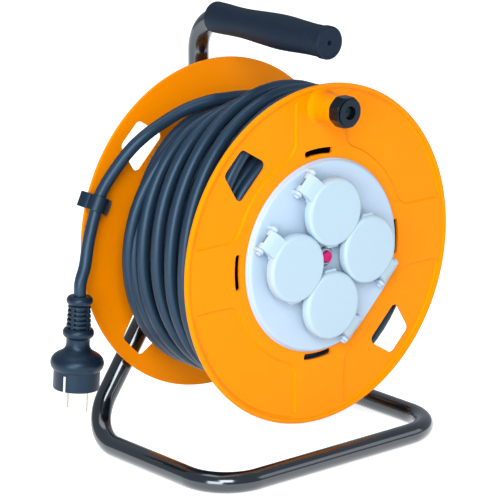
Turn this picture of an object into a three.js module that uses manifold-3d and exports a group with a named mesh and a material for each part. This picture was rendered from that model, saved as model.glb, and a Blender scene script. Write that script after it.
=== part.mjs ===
// Extension cord reel: an open drum with four lidded sockets on a bent-tube stand.
// Millimetres, +Z up, drum axis along Y with the sockets facing -Y, floor at z = 0.

import * as THREE from 'three';
import { mergeVertices } from 'three/addons/utils/BufferGeometryUtils.js';
import Module from 'manifold-3d';

const wasm = await Module();
wasm.setup();

// ---------- Driving dimensions ----------

const CLEARANCE = 0.3; // gap between pieces that touch
const TURNING_GAP = 0.4; // gap round pieces that turn

// Stand
const HUB_HEIGHT = 181;
const CENTRE_SHIFT_Y = 3.8; // puts the middle of the whole over the origin
const TUBE_RADIUS = 9;
const TUBE_WALL = 1.5;
const BEND_RADIUS = 40;
const BEND_STEPS = 4; // in a right angle
const TOP_BEND_RADIUS = 32;
const TUBE_REAR_Y = 88; // plane of the upright and the legs
const TUBE_FRONT_Y = -90.5; // front rail of the base
const BASE_HALF_WIDTH = 126;
const LEG_MEET = 10; // where the legs' centre lines meet, above the hub
const LEG_WELD_SETBACK = 13.5;
const LEG_BORE_SETBACK = 19;
const GRIP_RISE = 181; // grip's centre line above the hub
const GRIP_REAR_Y = 66;
const GRIP_FRONT_Y = -81;
const GRIP_BORE_END = 4;
const GRIP_FLARE = 13.4;
const GRIP_WAIST = 12.7;
const GRIP_RADIUS = 14.8;
const GRIP_NECK = 13.2;
const GRIP_COLLAR = 14;
const GRIP_FLARE_END = 14; // distances along the grip from its rear end
const GRIP_WAIST_START = 30;
const GRIP_WAIST_END = 44;
const GRIP_SWELL_START = 72;
const GRIP_SWELL = 86;
const GRIP_SWELL_END = 46; // and from its front end
const GRIP_NECK_START = 20;
const GRIP_NECK_END = 8.5;

// Axle and hub
const AXLE_RADIUS = 6;
const AXLE_TIP_Y = 0;
const AXLE_PLATE = 4;
const AXLE_PLATE_TOP = 38;
const AXLE_PLATE_BOTTOM = 30;
const AXLE_PLATE_HALF_WIDTH = 34;
const AXLE_PLATE_NECK = 15;
const BUSH_WALL = 3;
const BUSH_LENGTH = 15;
const BUSH_FLANGE = 1.5;
const BUSH_FLANGE_RADIUS = 13.4;
const SLEEVE_WALL = 4;
const SLEEVE_FRONT_Y = 15;
const WASHER_THICKNESS = 1.8;
const WASHER_RADIUS = 12;
const NUT_THICKNESS = 8;
const NUT_RADIUS = 10.4;

// Drum
const FLANGE_RADIUS = 145;
const DRUM_FRONT_Y = -70.8; // outer face of the front flange's spokes
const DRUM_LENGTH = 139; // between the two flanges' outer faces
const FLANGE_PLATE = 2.4;
const PANEL_SINK = 1.2;
const RIM_WIDTH = 4.6;
const RIM_PROUD = 1.2;
const SPOKE_HALF_WIDTH = 27;
const SECTOR_INNER = 94;
const SECTOR_CORNER = 12;
const WINDOW_INNER = 106;
const WINDOW_OUTER = 131;
const WINDOW_INNER_HALF = 19;
const WINDOW_OUTER_HALF = 12.5;
const WINDOW_CORNER = 5;
const SLOT_RADIUS = 88;
const SLOT_WIDTH = 5.5;
const SLOT_LENGTH = 28;
const BARREL_RADIUS = 85;
const BARREL_WALL = 2.6;
const HUB_RIBS = 8;
const HUB_RIB_DEPTH = 22;
const HUB_RIB_THICKNESS = 2;
const BOSS_COUNT = 4;
const BOSS_RADIUS = 4.6;
const BOSS_CIRCLE = 78;
const BOSS_LENGTH = 26;
const SCREW_RADIUS = 1.9;
const SCREW_HEAD_RADIUS = 4;
const SCREW_HEAD = 2.2;
const SCREW_LENGTH = 18;

// Socket panel
const PANEL_RADIUS = 84;
const PANEL_FACE_RADIUS = 79.5;
const PANEL_PROUD = 4.7;
const PANEL_PLATE = 2.8;
const PANEL_CHORD = 76.5;
const PANEL_SKIRT = 12;
const FLANGE_HOLE = 79;
const FLANGE_CHORD = 75.5; // the hole is cut off straight here, towards the outer pair of hinges
const SOCKET_CIRCLE = 41;
const WELL_SIDES = 18;
const WELL_RADIUS = 19.9;
const WELL_WALL = 1.8;
const WELL_DEPTH = 17.5;
const WELL_FLOOR = 2.2;
const COLLAR_PROUD = 3.5;
const WELL_RIM = 2.5; // how far the well's rim reaches behind the panel
const WELL_RIM_THICKNESS = 1.5;
const PIN_SPACING = 19;
const PIN_HOLE = 3;
const EARTH_WIDTH = 6;
const EARTH_THICKNESS = 1;
const EARTH_REACH = 18.6;
const CARRIER_RADIUS = 66;
const CARRIER_THICKNESS = 9;
const CARRIER_SCREW_CIRCLE = 56;
const CARRIER_SCREW_RADIUS = 1.5;
const CARRIER_SCREW_HEAD = 2.8;
const CARRIER_BOSS_RADIUS = 3.6;
const RECEPTACLE_RADIUS = 2.9;
const BUSBAR_WIDTH = 5;
const BUSBAR_THICKNESS = 1;
const BUSBAR_STEP = 3;

// Socket lids
const LID_RADIUS = 28.5;
const LID_HEIGHT = 8.5;
const LID_SHELL = 2;
const HINGE_REACH = 37; // from a socket's centre to its hinge axis
const HINGE_LIFT = 4.3; // hinge axis above the panel's face
const KNUCKLE_RADIUS = 3.6;
const ARM_HALF_WIDTH = 9;
const EAR_THICKNESS = 3;
const HINGE_PIN_RADIUS = 1.4;
const HINGE_HEAD_RADIUS = 2.9;
const SPRING_COIL_RADIUS = 2.2;
const SPRING_WIRE = 0.45;
const SPRING_TURNS = 3.5;
const SPRING_PITCH = 1.5;
const SPRING_LEG = 5.4;
const POCKET_MOUTH = 1.6; // the knuckle's skin stops this far in front of the hinge axis
const TAB_ANGLE = 135;
const TAB_WIDTH = 12;
const TAB_REACH = 3;

// Reset button and thermal cut-out
const BUTTON_RADIUS = 5;
const BUTTON_TRAVEL = 2.5;
const BUTTON_PROUD = 4.2;
const BUTTON_LENGTH = 12;
const CUTOUT_BODY_RADIUS = 11;
const CUTOUT_BEZEL = 1.8;
const CUTOUT_NECK = 7.4;

// Crank knob
const KNOB_INSET = 18; // its axis in from the rim
const KNOB_NECK_RADIUS = 12.4;
const KNOB_NECK_FOOT = 16;
const KNOB_NECK_LENGTH = 22.5;
const KNOB_RADIUS = 13.5;
const KNOB_DEPTH = 11.2;
const KNOB_LOBES = 8;
const KNOB_BORE = 3.1;
const KNOB_PIN_RADIUS = 2.6;
const KNOB_PIN_HEAD = 5.4;

// Cable
const CABLE_RADIUS = 5.25;
const WINDING_RADIUS = 113.25; // centre line of the outer layer
const WINDING_DROP = 5; // the loose coil hangs this much below the axle
const WINDING_PITCH = 18;
const WINDING_FIRST_Y = 57;
const OVER_GAP = 1.4; // under a turn that crosses the others
const LEAD_FRONT_Y = -57;
const LEAD_REAR_Y = 18.5;
const LEAD_SWING = 9;
const LEAD_RISE = 19;
const WINDING_START = 120; // degrees
const WINDING_TURN_STEPS = 24;
const WINDING_SIDES = 6;
const PILE_HEIGHT = 22; // the front turns pile up near the top
const PILE_ANGLE = 78;
const PILE_HALF_SPREAD = 105;
const PILE_FRONT_Y = 3;
const PILE_REAR_Y = 15;
const CORE_REAR_Y = 64;
const CORE_FRONT_Y = -66.6;

// Cord clip
const CLIP_ANGLE = 163;
const CLIP_WIDTH = 13;
const CLIP_THICKNESS = 2.2;
const CLIP_GAP = 0.8; // round the cord
const CLIP_OVERHANG = 3.9; // room between its end and the rim
const CLIP_CORD_RADIUS = 140.9; // where the cord runs through the clip
const CLIP_CORD_Y = 57;

// Plug
const PLUG_TOP = [-162, 49.5, -34.9];
const PLUG_TILT = 3.2;
const PLUG_PIN_RADIUS = 2.4;
const PLUG_PIN_LENGTH = 19;
const PLUG_PIN_TURN = -40;
const PLUG_FACE = -87;
const PLUG_FACE_RADIUS = 19.2;

// ---------- Materials ----------

const paint = (color, roughness, metalness) => new THREE.MeshStandardMaterial({ color, roughness, metalness });
const orangePlastic = () => paint(0xff9a00, 0.42, 0);
const blackPaint = () => paint(0x11161a, 0.25, 0.1);
const gripRubber = () => paint(0x1b1f23, 0.7, 0);
const zincSteel = () => paint(0xb9bcc0, 0.35, 0.9);
const whiteAcetal = () => paint(0xe9e9e4, 0.4, 0);
const panelPlastic = () => paint(0xd0e6f6, 0.4, 0);
const lidPlastic = () => paint(0xcbe4ee, 0.45, 0);
const springSteel = () => paint(0xa9adb3, 0.3, 0.95);
const brass = () => paint(0xc9a24b, 0.35, 0.9);
const blackPlastic = () => paint(0x16191c, 0.45, 0);
const redPlastic = () => paint(0xd11262, 0.35, 0);
const cableRubber = () => paint(0x243140, 0.55, 0);
const nickel = () => paint(0xd2cfc4, 0.25, 0.95);

// ---------- Helpers ----------

const radians = THREE.MathUtils.degToRad;
const vector = (x, y, z) => new THREE.Vector3(x, y, z);
const smooth = (x, from, to) => THREE.MathUtils.smoothstep(x, from, to);

// A closed three.js geometry as a manifold solid, with its faces turned outwards.
function solid(geometry) {
  const bare = geometry.index ? geometry.toNonIndexed() : geometry.clone();
  bare.deleteAttribute('normal');
  bare.deleteAttribute('uv');
  const merged = mergeVertices(bare, 1e-4);
  const points = merged.attributes.position.array;
  const index = merged.index.array;
  const triangles = [];
  const corner = [vector(), vector(), vector()];
  let volume = 0;
  for (let i = 0; i < index.length; i += 3) {
    const [a, b, c] = [index[i], index[i + 1], index[i + 2]];
    if (a === b || b === c || c === a) continue;
    triangles.push(a, b, c);
    [a, b, c].forEach((at, k) => corner[k].fromArray(points, at * 3));
    volume += corner[0].dot(corner[1].cross(corner[2]));
  }
  if (volume < 0) {
    for (let i = 0; i < triangles.length; i += 3) {
      [triangles[i], triangles[i + 1]] = [triangles[i + 1], triangles[i]];
    }
  }
  const mesh = new wasm.Mesh({
    numProp: 3,
    vertProperties: Float32Array.from(points),
    triVerts: Uint32Array.from(triangles),
  });
  return new wasm.Manifold(mesh);
}

function geometryOf(manifold) {
  const { vertProperties, triVerts, numProp } = manifold.getMesh();
  const positions = new Float32Array((vertProperties.length / numProp) * 3);
  for (let i = 0; i < positions.length / 3; i++) {
    positions.set(vertProperties.subarray(i * numProp, i * numProp + 3), i * 3);
  }
  const geometry = new THREE.BufferGeometry();
  geometry.setAttribute('position', new THREE.BufferAttribute(positions, 3));
  geometry.setIndex(Array.from(triVerts));
  const flat = geometry.toNonIndexed();
  flat.computeVertexNormals();
  return flat;
}

const clean = (geometry) => geometryOf(solid(geometry));
const join = (first, ...more) => more.reduce((sum, next) => sum.add(solid(next)), solid(first));
const cut = (body, ...tools) => tools.reduce((sum, tool) => sum.subtract(solid(tool)), body);

function piece(name, geometry, material) {
  const mesh = new THREE.Mesh(geometry, material);
  mesh.name = name;
  return mesh;
}

// A profile of [radius, y] points turned round the Y axis, closed on itself or on the axis.
function turned(profile, segments) {
  const points = profile.map(([radius, y]) => new THREE.Vector2(radius, y));
  const onAxis = profile[0][0] === 0 && profile.at(-1)[0] === 0;
  if (!onAxis) points.push(points[0].clone());
  return new THREE.LatheGeometry(points, segments);
}

// A ring or disc between two radii and two Y planes.
const ring = (inner, outer, fromY, toY, segments) =>
  turned(
    inner > 0
      ? [[inner, fromY], [outer, fromY], [outer, toY], [inner, toY]]
      : [[0, fromY], [outer, fromY], [outer, toY], [0, toY]],
    segments,
  );

// An outline in X and Z as a plate between two Y planes.
function plate(shape, fromY, toY, curveSegments = 3) {
  const options = { depth: toY - fromY, bevelEnabled: false, curveSegments };
  return new THREE.ExtrudeGeometry(shape, options).rotateX(Math.PI / 2).translate(0, toY, 0);
}

const box = (low, high) =>
  new THREE.BoxGeometry(high[0] - low[0], high[1] - low[1], high[2] - low[2]).translate(
    (low[0] + high[0]) / 2,
    (low[1] + high[1]) / 2,
    (low[2] + high[2]) / 2,
  );

// Turns a geometry from the X axis towards Z by an angle in degrees.
const swing = (geometry, degrees) => geometry.rotateY(-radians(degrees));

// A polygon of [x, y] corners, each rounded by the same radius.
function roundedShape(corners, radius) {
  const shape = new THREE.Shape();
  const points = corners.map(([x, y]) => new THREE.Vector2(x, y));
  points.forEach((point, i) => {
    const before = points.at(i - 1);
    const after = points[(i + 1) % points.length];
    const from = point.clone().add(before.clone().sub(point).setLength(radius));
    const to = point.clone().add(after.clone().sub(point).setLength(radius));
    if (i === 0) shape.moveTo(from.x, from.y);
    else shape.lineTo(from.x, from.y);
    shape.quadraticCurveTo(point.x, point.y, to.x, to.y);
  });
  shape.closePath();
  return shape;
}

// A regular polygon whose flats lie at the given radius, one of them square to each axis.
function flatPolygon(radius, sides) {
  const reach = radius / Math.cos(Math.PI / sides);
  const corner = (k) => {
    const angle = ((k + 0.5) * 2 * Math.PI) / sides;
    return new THREE.Vector2(reach * Math.cos(angle), reach * Math.sin(angle));
  };
  return new THREE.Shape(Array.from({ length: sides }, (_, k) => corner(k)));
}

function circlePolygon(radius, sides) {
  const corner = (k) => {
    const angle = (k * 2 * Math.PI) / sides;
    return new THREE.Vector2(radius * Math.cos(angle), radius * Math.sin(angle));
  };
  return new THREE.Shape(Array.from({ length: sides }, (_, k) => corner(k)));
}

// A strip of one thickness along a line of [x, y] points.
function stripShape(line, thickness) {
  const points = line.map(([x, y]) => new THREE.Vector2(x, y));
  const side = (sign) =>
    points.map((point, i) => {
      const back = points[Math.max(i - 1, 0)];
      const ahead = points[Math.min(i + 1, points.length - 1)];
      const first = point.clone().sub(back).normalize();
      const last = ahead.clone().sub(point).normalize();
      const along = first.clone().add(last).normalize();
      const reach = thickness / 2 / Math.max(along.dot(i === 0 ? last : first), 0.5);
      return new THREE.Vector2(-along.y, along.x).multiplyScalar(sign * reach).add(point);
    });
  return new THREE.Shape([...side(1), ...side(-1).reverse()]);
}

// ---------- Bent tube of the stand ----------

// Straight runs between rounded corners, with stations only where the tube turns.
class BentPath extends THREE.Curve {
  constructor(corners, bendRadii, bendSteps) {
    super();
    this.stations = [];
    corners.forEach((point, i) => {
      if (i === 0 || i === corners.length - 1) {
        this.stations.push(point.clone());
        return;
      }
      const back = corners[i - 1].clone().sub(point).normalize();
      const ahead = corners[i + 1].clone().sub(point).normalize();
      const half = back.angleTo(ahead) / 2;
      const bendRadius = bendRadii[i - 1] ?? bendRadii.at(-1);
      const centre = point.clone().add(
        back.clone().add(ahead).normalize().multiplyScalar(bendRadius / Math.sin(half)),
      );
      const start = point.clone().addScaledVector(back, bendRadius / Math.tan(half));
      const arm = start.clone().sub(centre);
      const axis = back.clone().cross(ahead).normalize();
      const sweep = Math.PI - 2 * half;
      const steps = Math.max(2, Math.round((bendSteps * sweep) / (Math.PI / 2)));
      for (let k = 0; k <= steps; k++) {
        const turnedArm = arm.clone().applyAxisAngle(axis, (-sweep * k) / steps);
        this.stations.push(centre.clone().add(turnedArm));
      }
    });
  }

  get steps() {
    return this.stations.length - 1;
  }

  getPoint(t, target = new THREE.Vector3()) {
    const at = Math.min(Math.round(t * this.steps), this.steps);
    return target.copy(this.stations[at]);
  }

  getUtoTmapping(u) {
    return u;
  }

  // The section keeps one side level all round the base, so the rails stand flat.
  computeFrenetFrames(segments) {
    const tangents = this.stations.map((point, i) => {
      const back = this.stations[Math.max(i - 1, 0)];
      const ahead = this.stations[Math.min(i + 1, this.steps)];
      const into = point.clone().sub(back).normalize();
      const out = ahead.clone().sub(point).normalize();
      return into.add(out).normalize();
    });
    const across = tangents.map((tangent) => Math.abs(tangent.x));
    const level = across.indexOf(Math.max(...across));
    const normals = [];
    normals[level] = vector(0, 0, 1);
    const carry = (from, to) => {
      const turn = new THREE.Quaternion().setFromUnitVectors(tangents[from], tangents[to]);
      normals[to] = normals[from].clone().applyQuaternion(turn);
    };
    for (let i = level; i < segments; i++) carry(i, i + 1);
    for (let i = level; i > 0; i--) carry(i, i - 1);
    const binormals = tangents.map((tangent, i) => tangent.clone().cross(normals[i]));
    return { tangents, normals, binormals };
  }
}

function sweep(shape, path, steps) {
  return new THREE.ExtrudeGeometry(shape, { steps, bevelEnabled: false, extrudePath: path });
}

const legTop = vector(0, TUBE_REAR_Y, HUB_HEIGHT + LEG_MEET);
const rightCorner = vector(BASE_HALF_WIDTH, TUBE_REAR_Y, TUBE_RADIUS);
const rightLeg = legTop.clone().sub(rightCorner).normalize();

function tubeCorners(setback, frontEnd) {
  const gripHeight = HUB_HEIGHT + GRIP_RISE;
  return [
    vector(0, frontEnd, gripHeight),
    vector(0, TUBE_REAR_Y, gripHeight),
    legTop,
    vector(-BASE_HALF_WIDTH, TUBE_REAR_Y, TUBE_RADIUS),
    vector(-BASE_HALF_WIDTH, TUBE_FRONT_Y, TUBE_RADIUS),
    vector(BASE_HALF_WIDTH, TUBE_FRONT_Y, TUBE_RADIUS),
    rightCorner,
    legTop.clone().addScaledVector(rightLeg, -setback),
  ];
}

const tubeBends = [TOP_BEND_RADIUS, BEND_RADIUS];

function frameTube() {
  const tubeEnd = GRIP_FRONT_Y + GRIP_BORE_END + 1;
  const outside = new BentPath(tubeCorners(LEG_WELD_SETBACK, tubeEnd), tubeBends, BEND_STEPS);
  const inside = new BentPath(tubeCorners(LEG_BORE_SETBACK, tubeEnd - 1), tubeBends, BEND_STEPS);
  const skin = sweep(flatPolygon(TUBE_RADIUS, 12), outside, outside.steps);
  const bore = sweep(flatPolygon(TUBE_RADIUS - TUBE_WALL, 8), inside, inside.steps);
  // The right leg's end is welded into the crotch of the bent tube.
  const weldLength = 7;
  const weld = new THREE.CylinderGeometry(TUBE_RADIUS - 0.1, TUBE_RADIUS - 0.1, weldLength, 12);
  weld.applyQuaternion(new THREE.Quaternion().setFromUnitVectors(vector(0, 1, 0), rightLeg));
  const weldCentre = legTop.clone().addScaledVector(rightLeg, -(LEG_WELD_SETBACK - 1.5));
  weld.translate(weldCentre.x, weldCentre.y, weldCentre.z);
  return geometryOf(cut(join(skin, weld), bore));
}

// A sleeve whose bore follows the tube into its top bend.
function handleGrip() {
  const front = GRIP_FRONT_Y;
  const body = turned(
    [
      [0, GRIP_REAR_Y],
      [GRIP_FLARE - 1.4, GRIP_REAR_Y],
      [GRIP_FLARE, GRIP_REAR_Y - 2.5],
      [GRIP_FLARE, GRIP_REAR_Y - GRIP_FLARE_END],
      [GRIP_WAIST, GRIP_REAR_Y - GRIP_WAIST_START],
      [GRIP_WAIST, GRIP_REAR_Y - GRIP_WAIST_END],
      [GRIP_RADIUS - 0.5, GRIP_REAR_Y - GRIP_SWELL_START],
      [GRIP_RADIUS, GRIP_REAR_Y - GRIP_SWELL],
      [GRIP_RADIUS - 0.5, front + GRIP_SWELL_END],
      [GRIP_NECK, front + GRIP_NECK_START],
      [GRIP_NECK, front + GRIP_NECK_END],
      [GRIP_COLLAR, front + GRIP_NECK_END - 1.5],
      [GRIP_COLLAR, front + 1.6],
      [GRIP_COLLAR - 1.6, front],
      [3, front],
      [2.4, front + 1],
      [0, front + 1],
    ],
    16,
  ).translate(0, 0, HUB_HEIGHT + GRIP_RISE);
  const room = new BentPath(tubeCorners(LEG_WELD_SETBACK, front + GRIP_BORE_END), tubeBends, BEND_STEPS);
  const bore = sweep(flatPolygon(TUBE_RADIUS + CLEARANCE, 12), room, room.steps);
  return geometryOf(cut(solid(body), bore));
}

// ---------- Axle, bushes and nut (about the hub) ----------

const plateRearY = TUBE_REAR_Y - TUBE_RADIUS - CLEARANCE;
const plateFrontY = plateRearY - AXLE_PLATE;
const bushInner = AXLE_RADIUS + TURNING_GAP;
const bushOuter = bushInner + BUSH_WALL;
const sleeveBore = bushOuter + CLEARANCE;
const sleeveOuter = sleeveBore + SLEEVE_WALL;
const sleeveRearY = plateFrontY - CLEARANCE - BUSH_FLANGE - CLEARANCE;

function axleBracket() {
  const outline = roundedShape(
    [
      [-AXLE_PLATE_NECK, AXLE_PLATE_TOP],
      [-AXLE_PLATE_HALF_WIDTH, -AXLE_PLATE_BOTTOM + 14],
      [-AXLE_PLATE_HALF_WIDTH, -AXLE_PLATE_BOTTOM],
      [AXLE_PLATE_HALF_WIDTH, -AXLE_PLATE_BOTTOM],
      [AXLE_PLATE_HALF_WIDTH, -AXLE_PLATE_BOTTOM + 14],
      [AXLE_PLATE_NECK, AXLE_PLATE_TOP],
    ],
    6,
  );
  const stub = turned(
    [
      [0, AXLE_TIP_Y],
      [AXLE_RADIUS - 1, AXLE_TIP_Y],
      [AXLE_RADIUS, AXLE_TIP_Y + 1],
      [AXLE_RADIUS, plateFrontY + 1],
      [0, plateFrontY + 1],
    ],
    20,
  );
  return geometryOf(join(plate(outline, plateFrontY, plateRearY), stub));
}

function hubBush(outerEndY, direction) {
  const at = (offset) => outerEndY + direction * offset;
  return turned(
    [
      [bushInner, at(0)],
      [BUSH_FLANGE_RADIUS, at(0)],
      [BUSH_FLANGE_RADIUS, at(BUSH_FLANGE)],
      [bushOuter, at(BUSH_FLANGE)],
      [bushOuter, at(BUSH_FLANGE + BUSH_LENGTH)],
      [bushInner, at(BUSH_FLANGE + BUSH_LENGTH)],
    ],
    16,
  );
}

const frontBushY = SLEEVE_FRONT_Y - CLEARANCE - BUSH_FLANGE;
const washerRearY = frontBushY - CLEARANCE;
const nutRearY = washerRearY - WASHER_THICKNESS - CLEARANCE;

const axleWasher = () =>
  clean(ring(AXLE_RADIUS + CLEARANCE, WASHER_RADIUS, washerRearY - WASHER_THICKNESS, washerRearY, 16));

function axleNut() {
  const body = plate(circlePolygon(NUT_RADIUS, 6), nutRearY - NUT_THICKNESS, nutRearY);
  const bore = ring(0, AXLE_RADIUS + CLEARANCE, nutRearY - NUT_THICKNESS - 1, nutRearY + 1, 16);
  return geometryOf(cut(solid(body), bore));
}

// ---------- Flanges and barrel (about the hub) ----------

const rimInner = FLANGE_RADIUS - RIM_WIDTH;
const knobCircle = FLANGE_RADIUS - KNOB_INSET;

// A sunk panel between two spokes, for the quarter from X towards Z.
function sectorShape(grow) {
  const inner = SECTOR_INNER - grow;
  const outer = rimInner - 1 + grow;
  const side = SPOKE_HALF_WIDTH - grow;
  const innerX = Math.sqrt(inner ** 2 - side ** 2);
  const outerX = Math.sqrt(outer ** 2 - side ** 2);
  const innerAngle = Math.asin(side / inner) + SECTOR_CORNER / inner;
  const outerAngle = Math.asin(side / outer) + SECTOR_CORNER / 2 / outer;
  const shape = new THREE.Shape();
  shape.moveTo(innerX + SECTOR_CORNER, side);
  shape.lineTo(outerX - SECTOR_CORNER / 2, side);
  shape.quadraticCurveTo(outerX, side, outer * Math.cos(outerAngle), outer * Math.sin(outerAngle));
  shape.absarc(0, 0, outer, outerAngle, Math.PI / 2 - outerAngle, false);
  shape.quadraticCurveTo(side, outerX, side, outerX - SECTOR_CORNER / 2);
  shape.lineTo(side, innerX + SECTOR_CORNER);
  shape.quadraticCurveTo(side, innerX, inner * Math.sin(innerAngle), inner * Math.cos(innerAngle));
  shape.absarc(0, 0, inner, Math.PI / 2 - innerAngle, innerAngle, true);
  shape.quadraticCurveTo(innerX, side, innerX + SECTOR_CORNER, side);
  return shape;
}

const windowShape = () =>
  roundedShape(
    [
      [WINDOW_INNER, -WINDOW_INNER_HALF],
      [WINDOW_OUTER, -WINDOW_OUTER_HALF],
      [WINDOW_OUTER, WINDOW_OUTER_HALF],
      [WINDOW_INNER, WINDOW_INNER_HALF],
    ],
    WINDOW_CORNER,
  );

function slotShape() {
  const half = SLOT_LENGTH / 2 / SLOT_RADIUS;
  const shape = new THREE.Shape();
  shape.absarc(0, 0, SLOT_RADIUS + SLOT_WIDTH / 2, -half, half, false);
  shape.absarc(0, 0, SLOT_RADIUS - SLOT_WIDTH / 2, half, -half, true);
  return shape;
}

// A flange with its outer side facing -Y and its spokes' outer face at y = 0.
function flangeBody(centreHole, windowAngles) {
  const profile = [
    [centreHole, 0],
    [rimInner, 0],
    [rimInner + 1.2, -RIM_PROUD],
    [FLANGE_RADIUS - 1.2, -RIM_PROUD],
    [FLANGE_RADIUS, -RIM_PROUD + 1.2],
    [FLANGE_RADIUS, FLANGE_PLATE],
    [centreHole, FLANGE_PLATE],
  ];
  let body = solid(turned(profile, 44));
  const quarters = [0, 90, 180, 270];
  for (const angle of quarters) {
    const back = plate(sectorShape(0.6), FLANGE_PLATE - 0.5, FLANGE_PLATE + PANEL_SINK);
    body = body.add(solid(swing(back, angle)));
  }
  for (const angle of quarters) {
    body = cut(
      body,
      swing(plate(sectorShape(0), -1, PANEL_SINK), angle),
      swing(plate(slotShape(), -1, FLANGE_PLATE + 1, 1), angle),
    );
  }
  for (const angle of windowAngles) {
    body = cut(body, swing(plate(windowShape(), -1, FLANGE_PLATE + PANEL_SINK + 1, 2), angle));
  }
  return body;
}

const rearFaceY = DRUM_FRONT_Y + DRUM_LENGTH;
const frontInnerY = DRUM_FRONT_Y + FLANGE_PLATE;
const rearInnerY = rearFaceY - FLANGE_PLATE;

function frontFlange() {
  const neckTop = -KNOB_NECK_LENGTH;
  const neck = turned(
    [
      [0, neckTop],
      [KNOB_NECK_RADIUS - 0.6, neckTop],
      [KNOB_NECK_RADIUS, neckTop + 0.8],
      [KNOB_NECK_RADIUS + 0.3, -5],
      [KNOB_NECK_RADIUS + 1.2, -2],
      [KNOB_NECK_FOOT, 0.4],
      [KNOB_NECK_FOOT, 1.2],
      [0, 1.2],
    ],
    24,
  ).translate(0, 0, knobCircle);
  const hole = ring(0, KNOB_PIN_RADIUS + CLEARANCE, neckTop - 1, 0.2, 12).translate(0, 0, knobCircle);
  const fill = ring(0, FLANGE_HOLE + 1, 0, FLANGE_PLATE, 40);
  const beyond = box([FLANGE_CHORD, -1, -FLANGE_HOLE], [FLANGE_HOLE + 2, FLANGE_PLATE + 1, FLANGE_HOLE]);
  const chord = solid(fill).intersect(solid(swing(beyond, 315)));
  const body = flangeBody(FLANGE_HOLE, [135, 315]).add(chord).add(solid(neck));
  return geometryOf(cut(body, hole)).translate(0, DRUM_FRONT_Y, 0);
}

function rearFlange() {
  const face = rearFaceY;
  let body = flangeBody(sleeveBore, [45, 135, 225, 315]);
  // The body is built facing -Y like the front flange, then turned to face +Y.
  const frontEnd = face - SLEEVE_FRONT_Y;
  const rearEnd = face - sleeveRearY;
  body = body.add(solid(ring(sleeveBore, sleeveOuter, rearEnd, frontEnd, 24)));
  for (let k = 0; k < HUB_RIBS; k++) {
    const reach = BARREL_RADIUS - BARREL_WALL - 1;
    const wedge = new THREE.Shape([
      new THREE.Vector2(sleeveOuter - 1, FLANGE_PLATE - 0.5),
      new THREE.Vector2(reach, FLANGE_PLATE - 0.5),
      new THREE.Vector2(reach, FLANGE_PLATE + 3),
      new THREE.Vector2(sleeveOuter - 1, FLANGE_PLATE + HUB_RIB_DEPTH),
    ]);
    const options = { depth: HUB_RIB_THICKNESS, bevelEnabled: false };
    const rib = new THREE.ExtrudeGeometry(wedge, options).translate(0, 0, -HUB_RIB_THICKNESS / 2);
    body = body.add(solid(swing(rib, (k * 360) / HUB_RIBS)));
  }
  for (const angle of bossAngles) {
    const hole = ring(0, SCREW_RADIUS + CLEARANCE, -1, FLANGE_PLATE + 1, 10);
    body = cut(body, swing(hole.translate(BOSS_CIRCLE, 0, 0), angle));
  }
  return geometryOf(body).rotateZ(Math.PI).translate(0, face, 0);
}

const bossAngles = Array.from({ length: BOSS_COUNT }, (_, k) => ((k + 0.25) * 360) / BOSS_COUNT);
const barrelFrontY = frontInnerY + CLEARANCE;
const barrelRearY = rearInnerY - CLEARANCE;

function drumBarrel() {
  let body = solid(ring(BARREL_RADIUS - BARREL_WALL, BARREL_RADIUS, barrelFrontY, barrelRearY, 36));
  for (const angle of bossAngles) {
    const boss = ring(0, BOSS_RADIUS, barrelRearY - BOSS_LENGTH, barrelRearY, 10);
    body = body.add(solid(swing(boss.translate(BOSS_CIRCLE, 0, 0), -angle)));
    const depth = SCREW_LENGTH + 1;
    const hole = ring(0, SCREW_RADIUS + CLEARANCE, barrelRearY - depth, barrelRearY + 1, 8);
    body = cut(body, swing(hole.translate(BOSS_CIRCLE, 0, 0), -angle));
  }
  return geometryOf(body);
}

function flangeScrew(angle) {
  const face = rearFaceY + CLEARANCE;
  const screw = turned(
    [
      [0, face - FLANGE_PLATE - SCREW_LENGTH + 2],
      [SCREW_RADIUS, face - FLANGE_PLATE - SCREW_LENGTH + 4],
      [SCREW_RADIUS, face],
      [SCREW_HEAD_RADIUS, face],
      [SCREW_HEAD_RADIUS - 0.4, face + SCREW_HEAD - 0.8],
      [SCREW_HEAD_RADIUS - 1.6, face + SCREW_HEAD],
      [0, face + SCREW_HEAD],
    ],
    8,
  );
  return clean(swing(screw.translate(BOSS_CIRCLE, 0, 0), -angle));
}

// ---------- Socket panel and contacts (about the hub) ----------

const panelFaceY = DRUM_FRONT_Y - CLEARANCE - PANEL_PROUD;
const panelBackY = panelFaceY + PANEL_PLATE;
const collarY = panelFaceY - COLLAR_PROUD;
const wellFloorY = collarY + WELL_DEPTH;
const wellBackY = wellFloorY + WELL_FLOOR;
const hingeY = panelFaceY - HINGE_LIFT;
const carrierFrontY = wellBackY + 2 * CLEARANCE + EARTH_THICKNESS;
const carrierBackY = carrierFrontY + CARRIER_THICKNESS;
const carrierScrewAngles = [45, 225];
const socketAngles = [90, 180, 270, 0];
const hingeAngles = [135, 135, 315, 315];

// Puts a geometry, drawn with its hinge towards +X, at one of the sockets.
function atSocket(geometry, socket) {
  const angle = radians(socketAngles[socket]);
  return swing(geometry, hingeAngles[socket]).translate(
    SOCKET_CIRCLE * Math.cos(angle),
    0,
    SOCKET_CIRCLE * Math.sin(angle),
  );
}

const earInner = ARM_HALF_WIDTH + TURNING_GAP;

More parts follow.
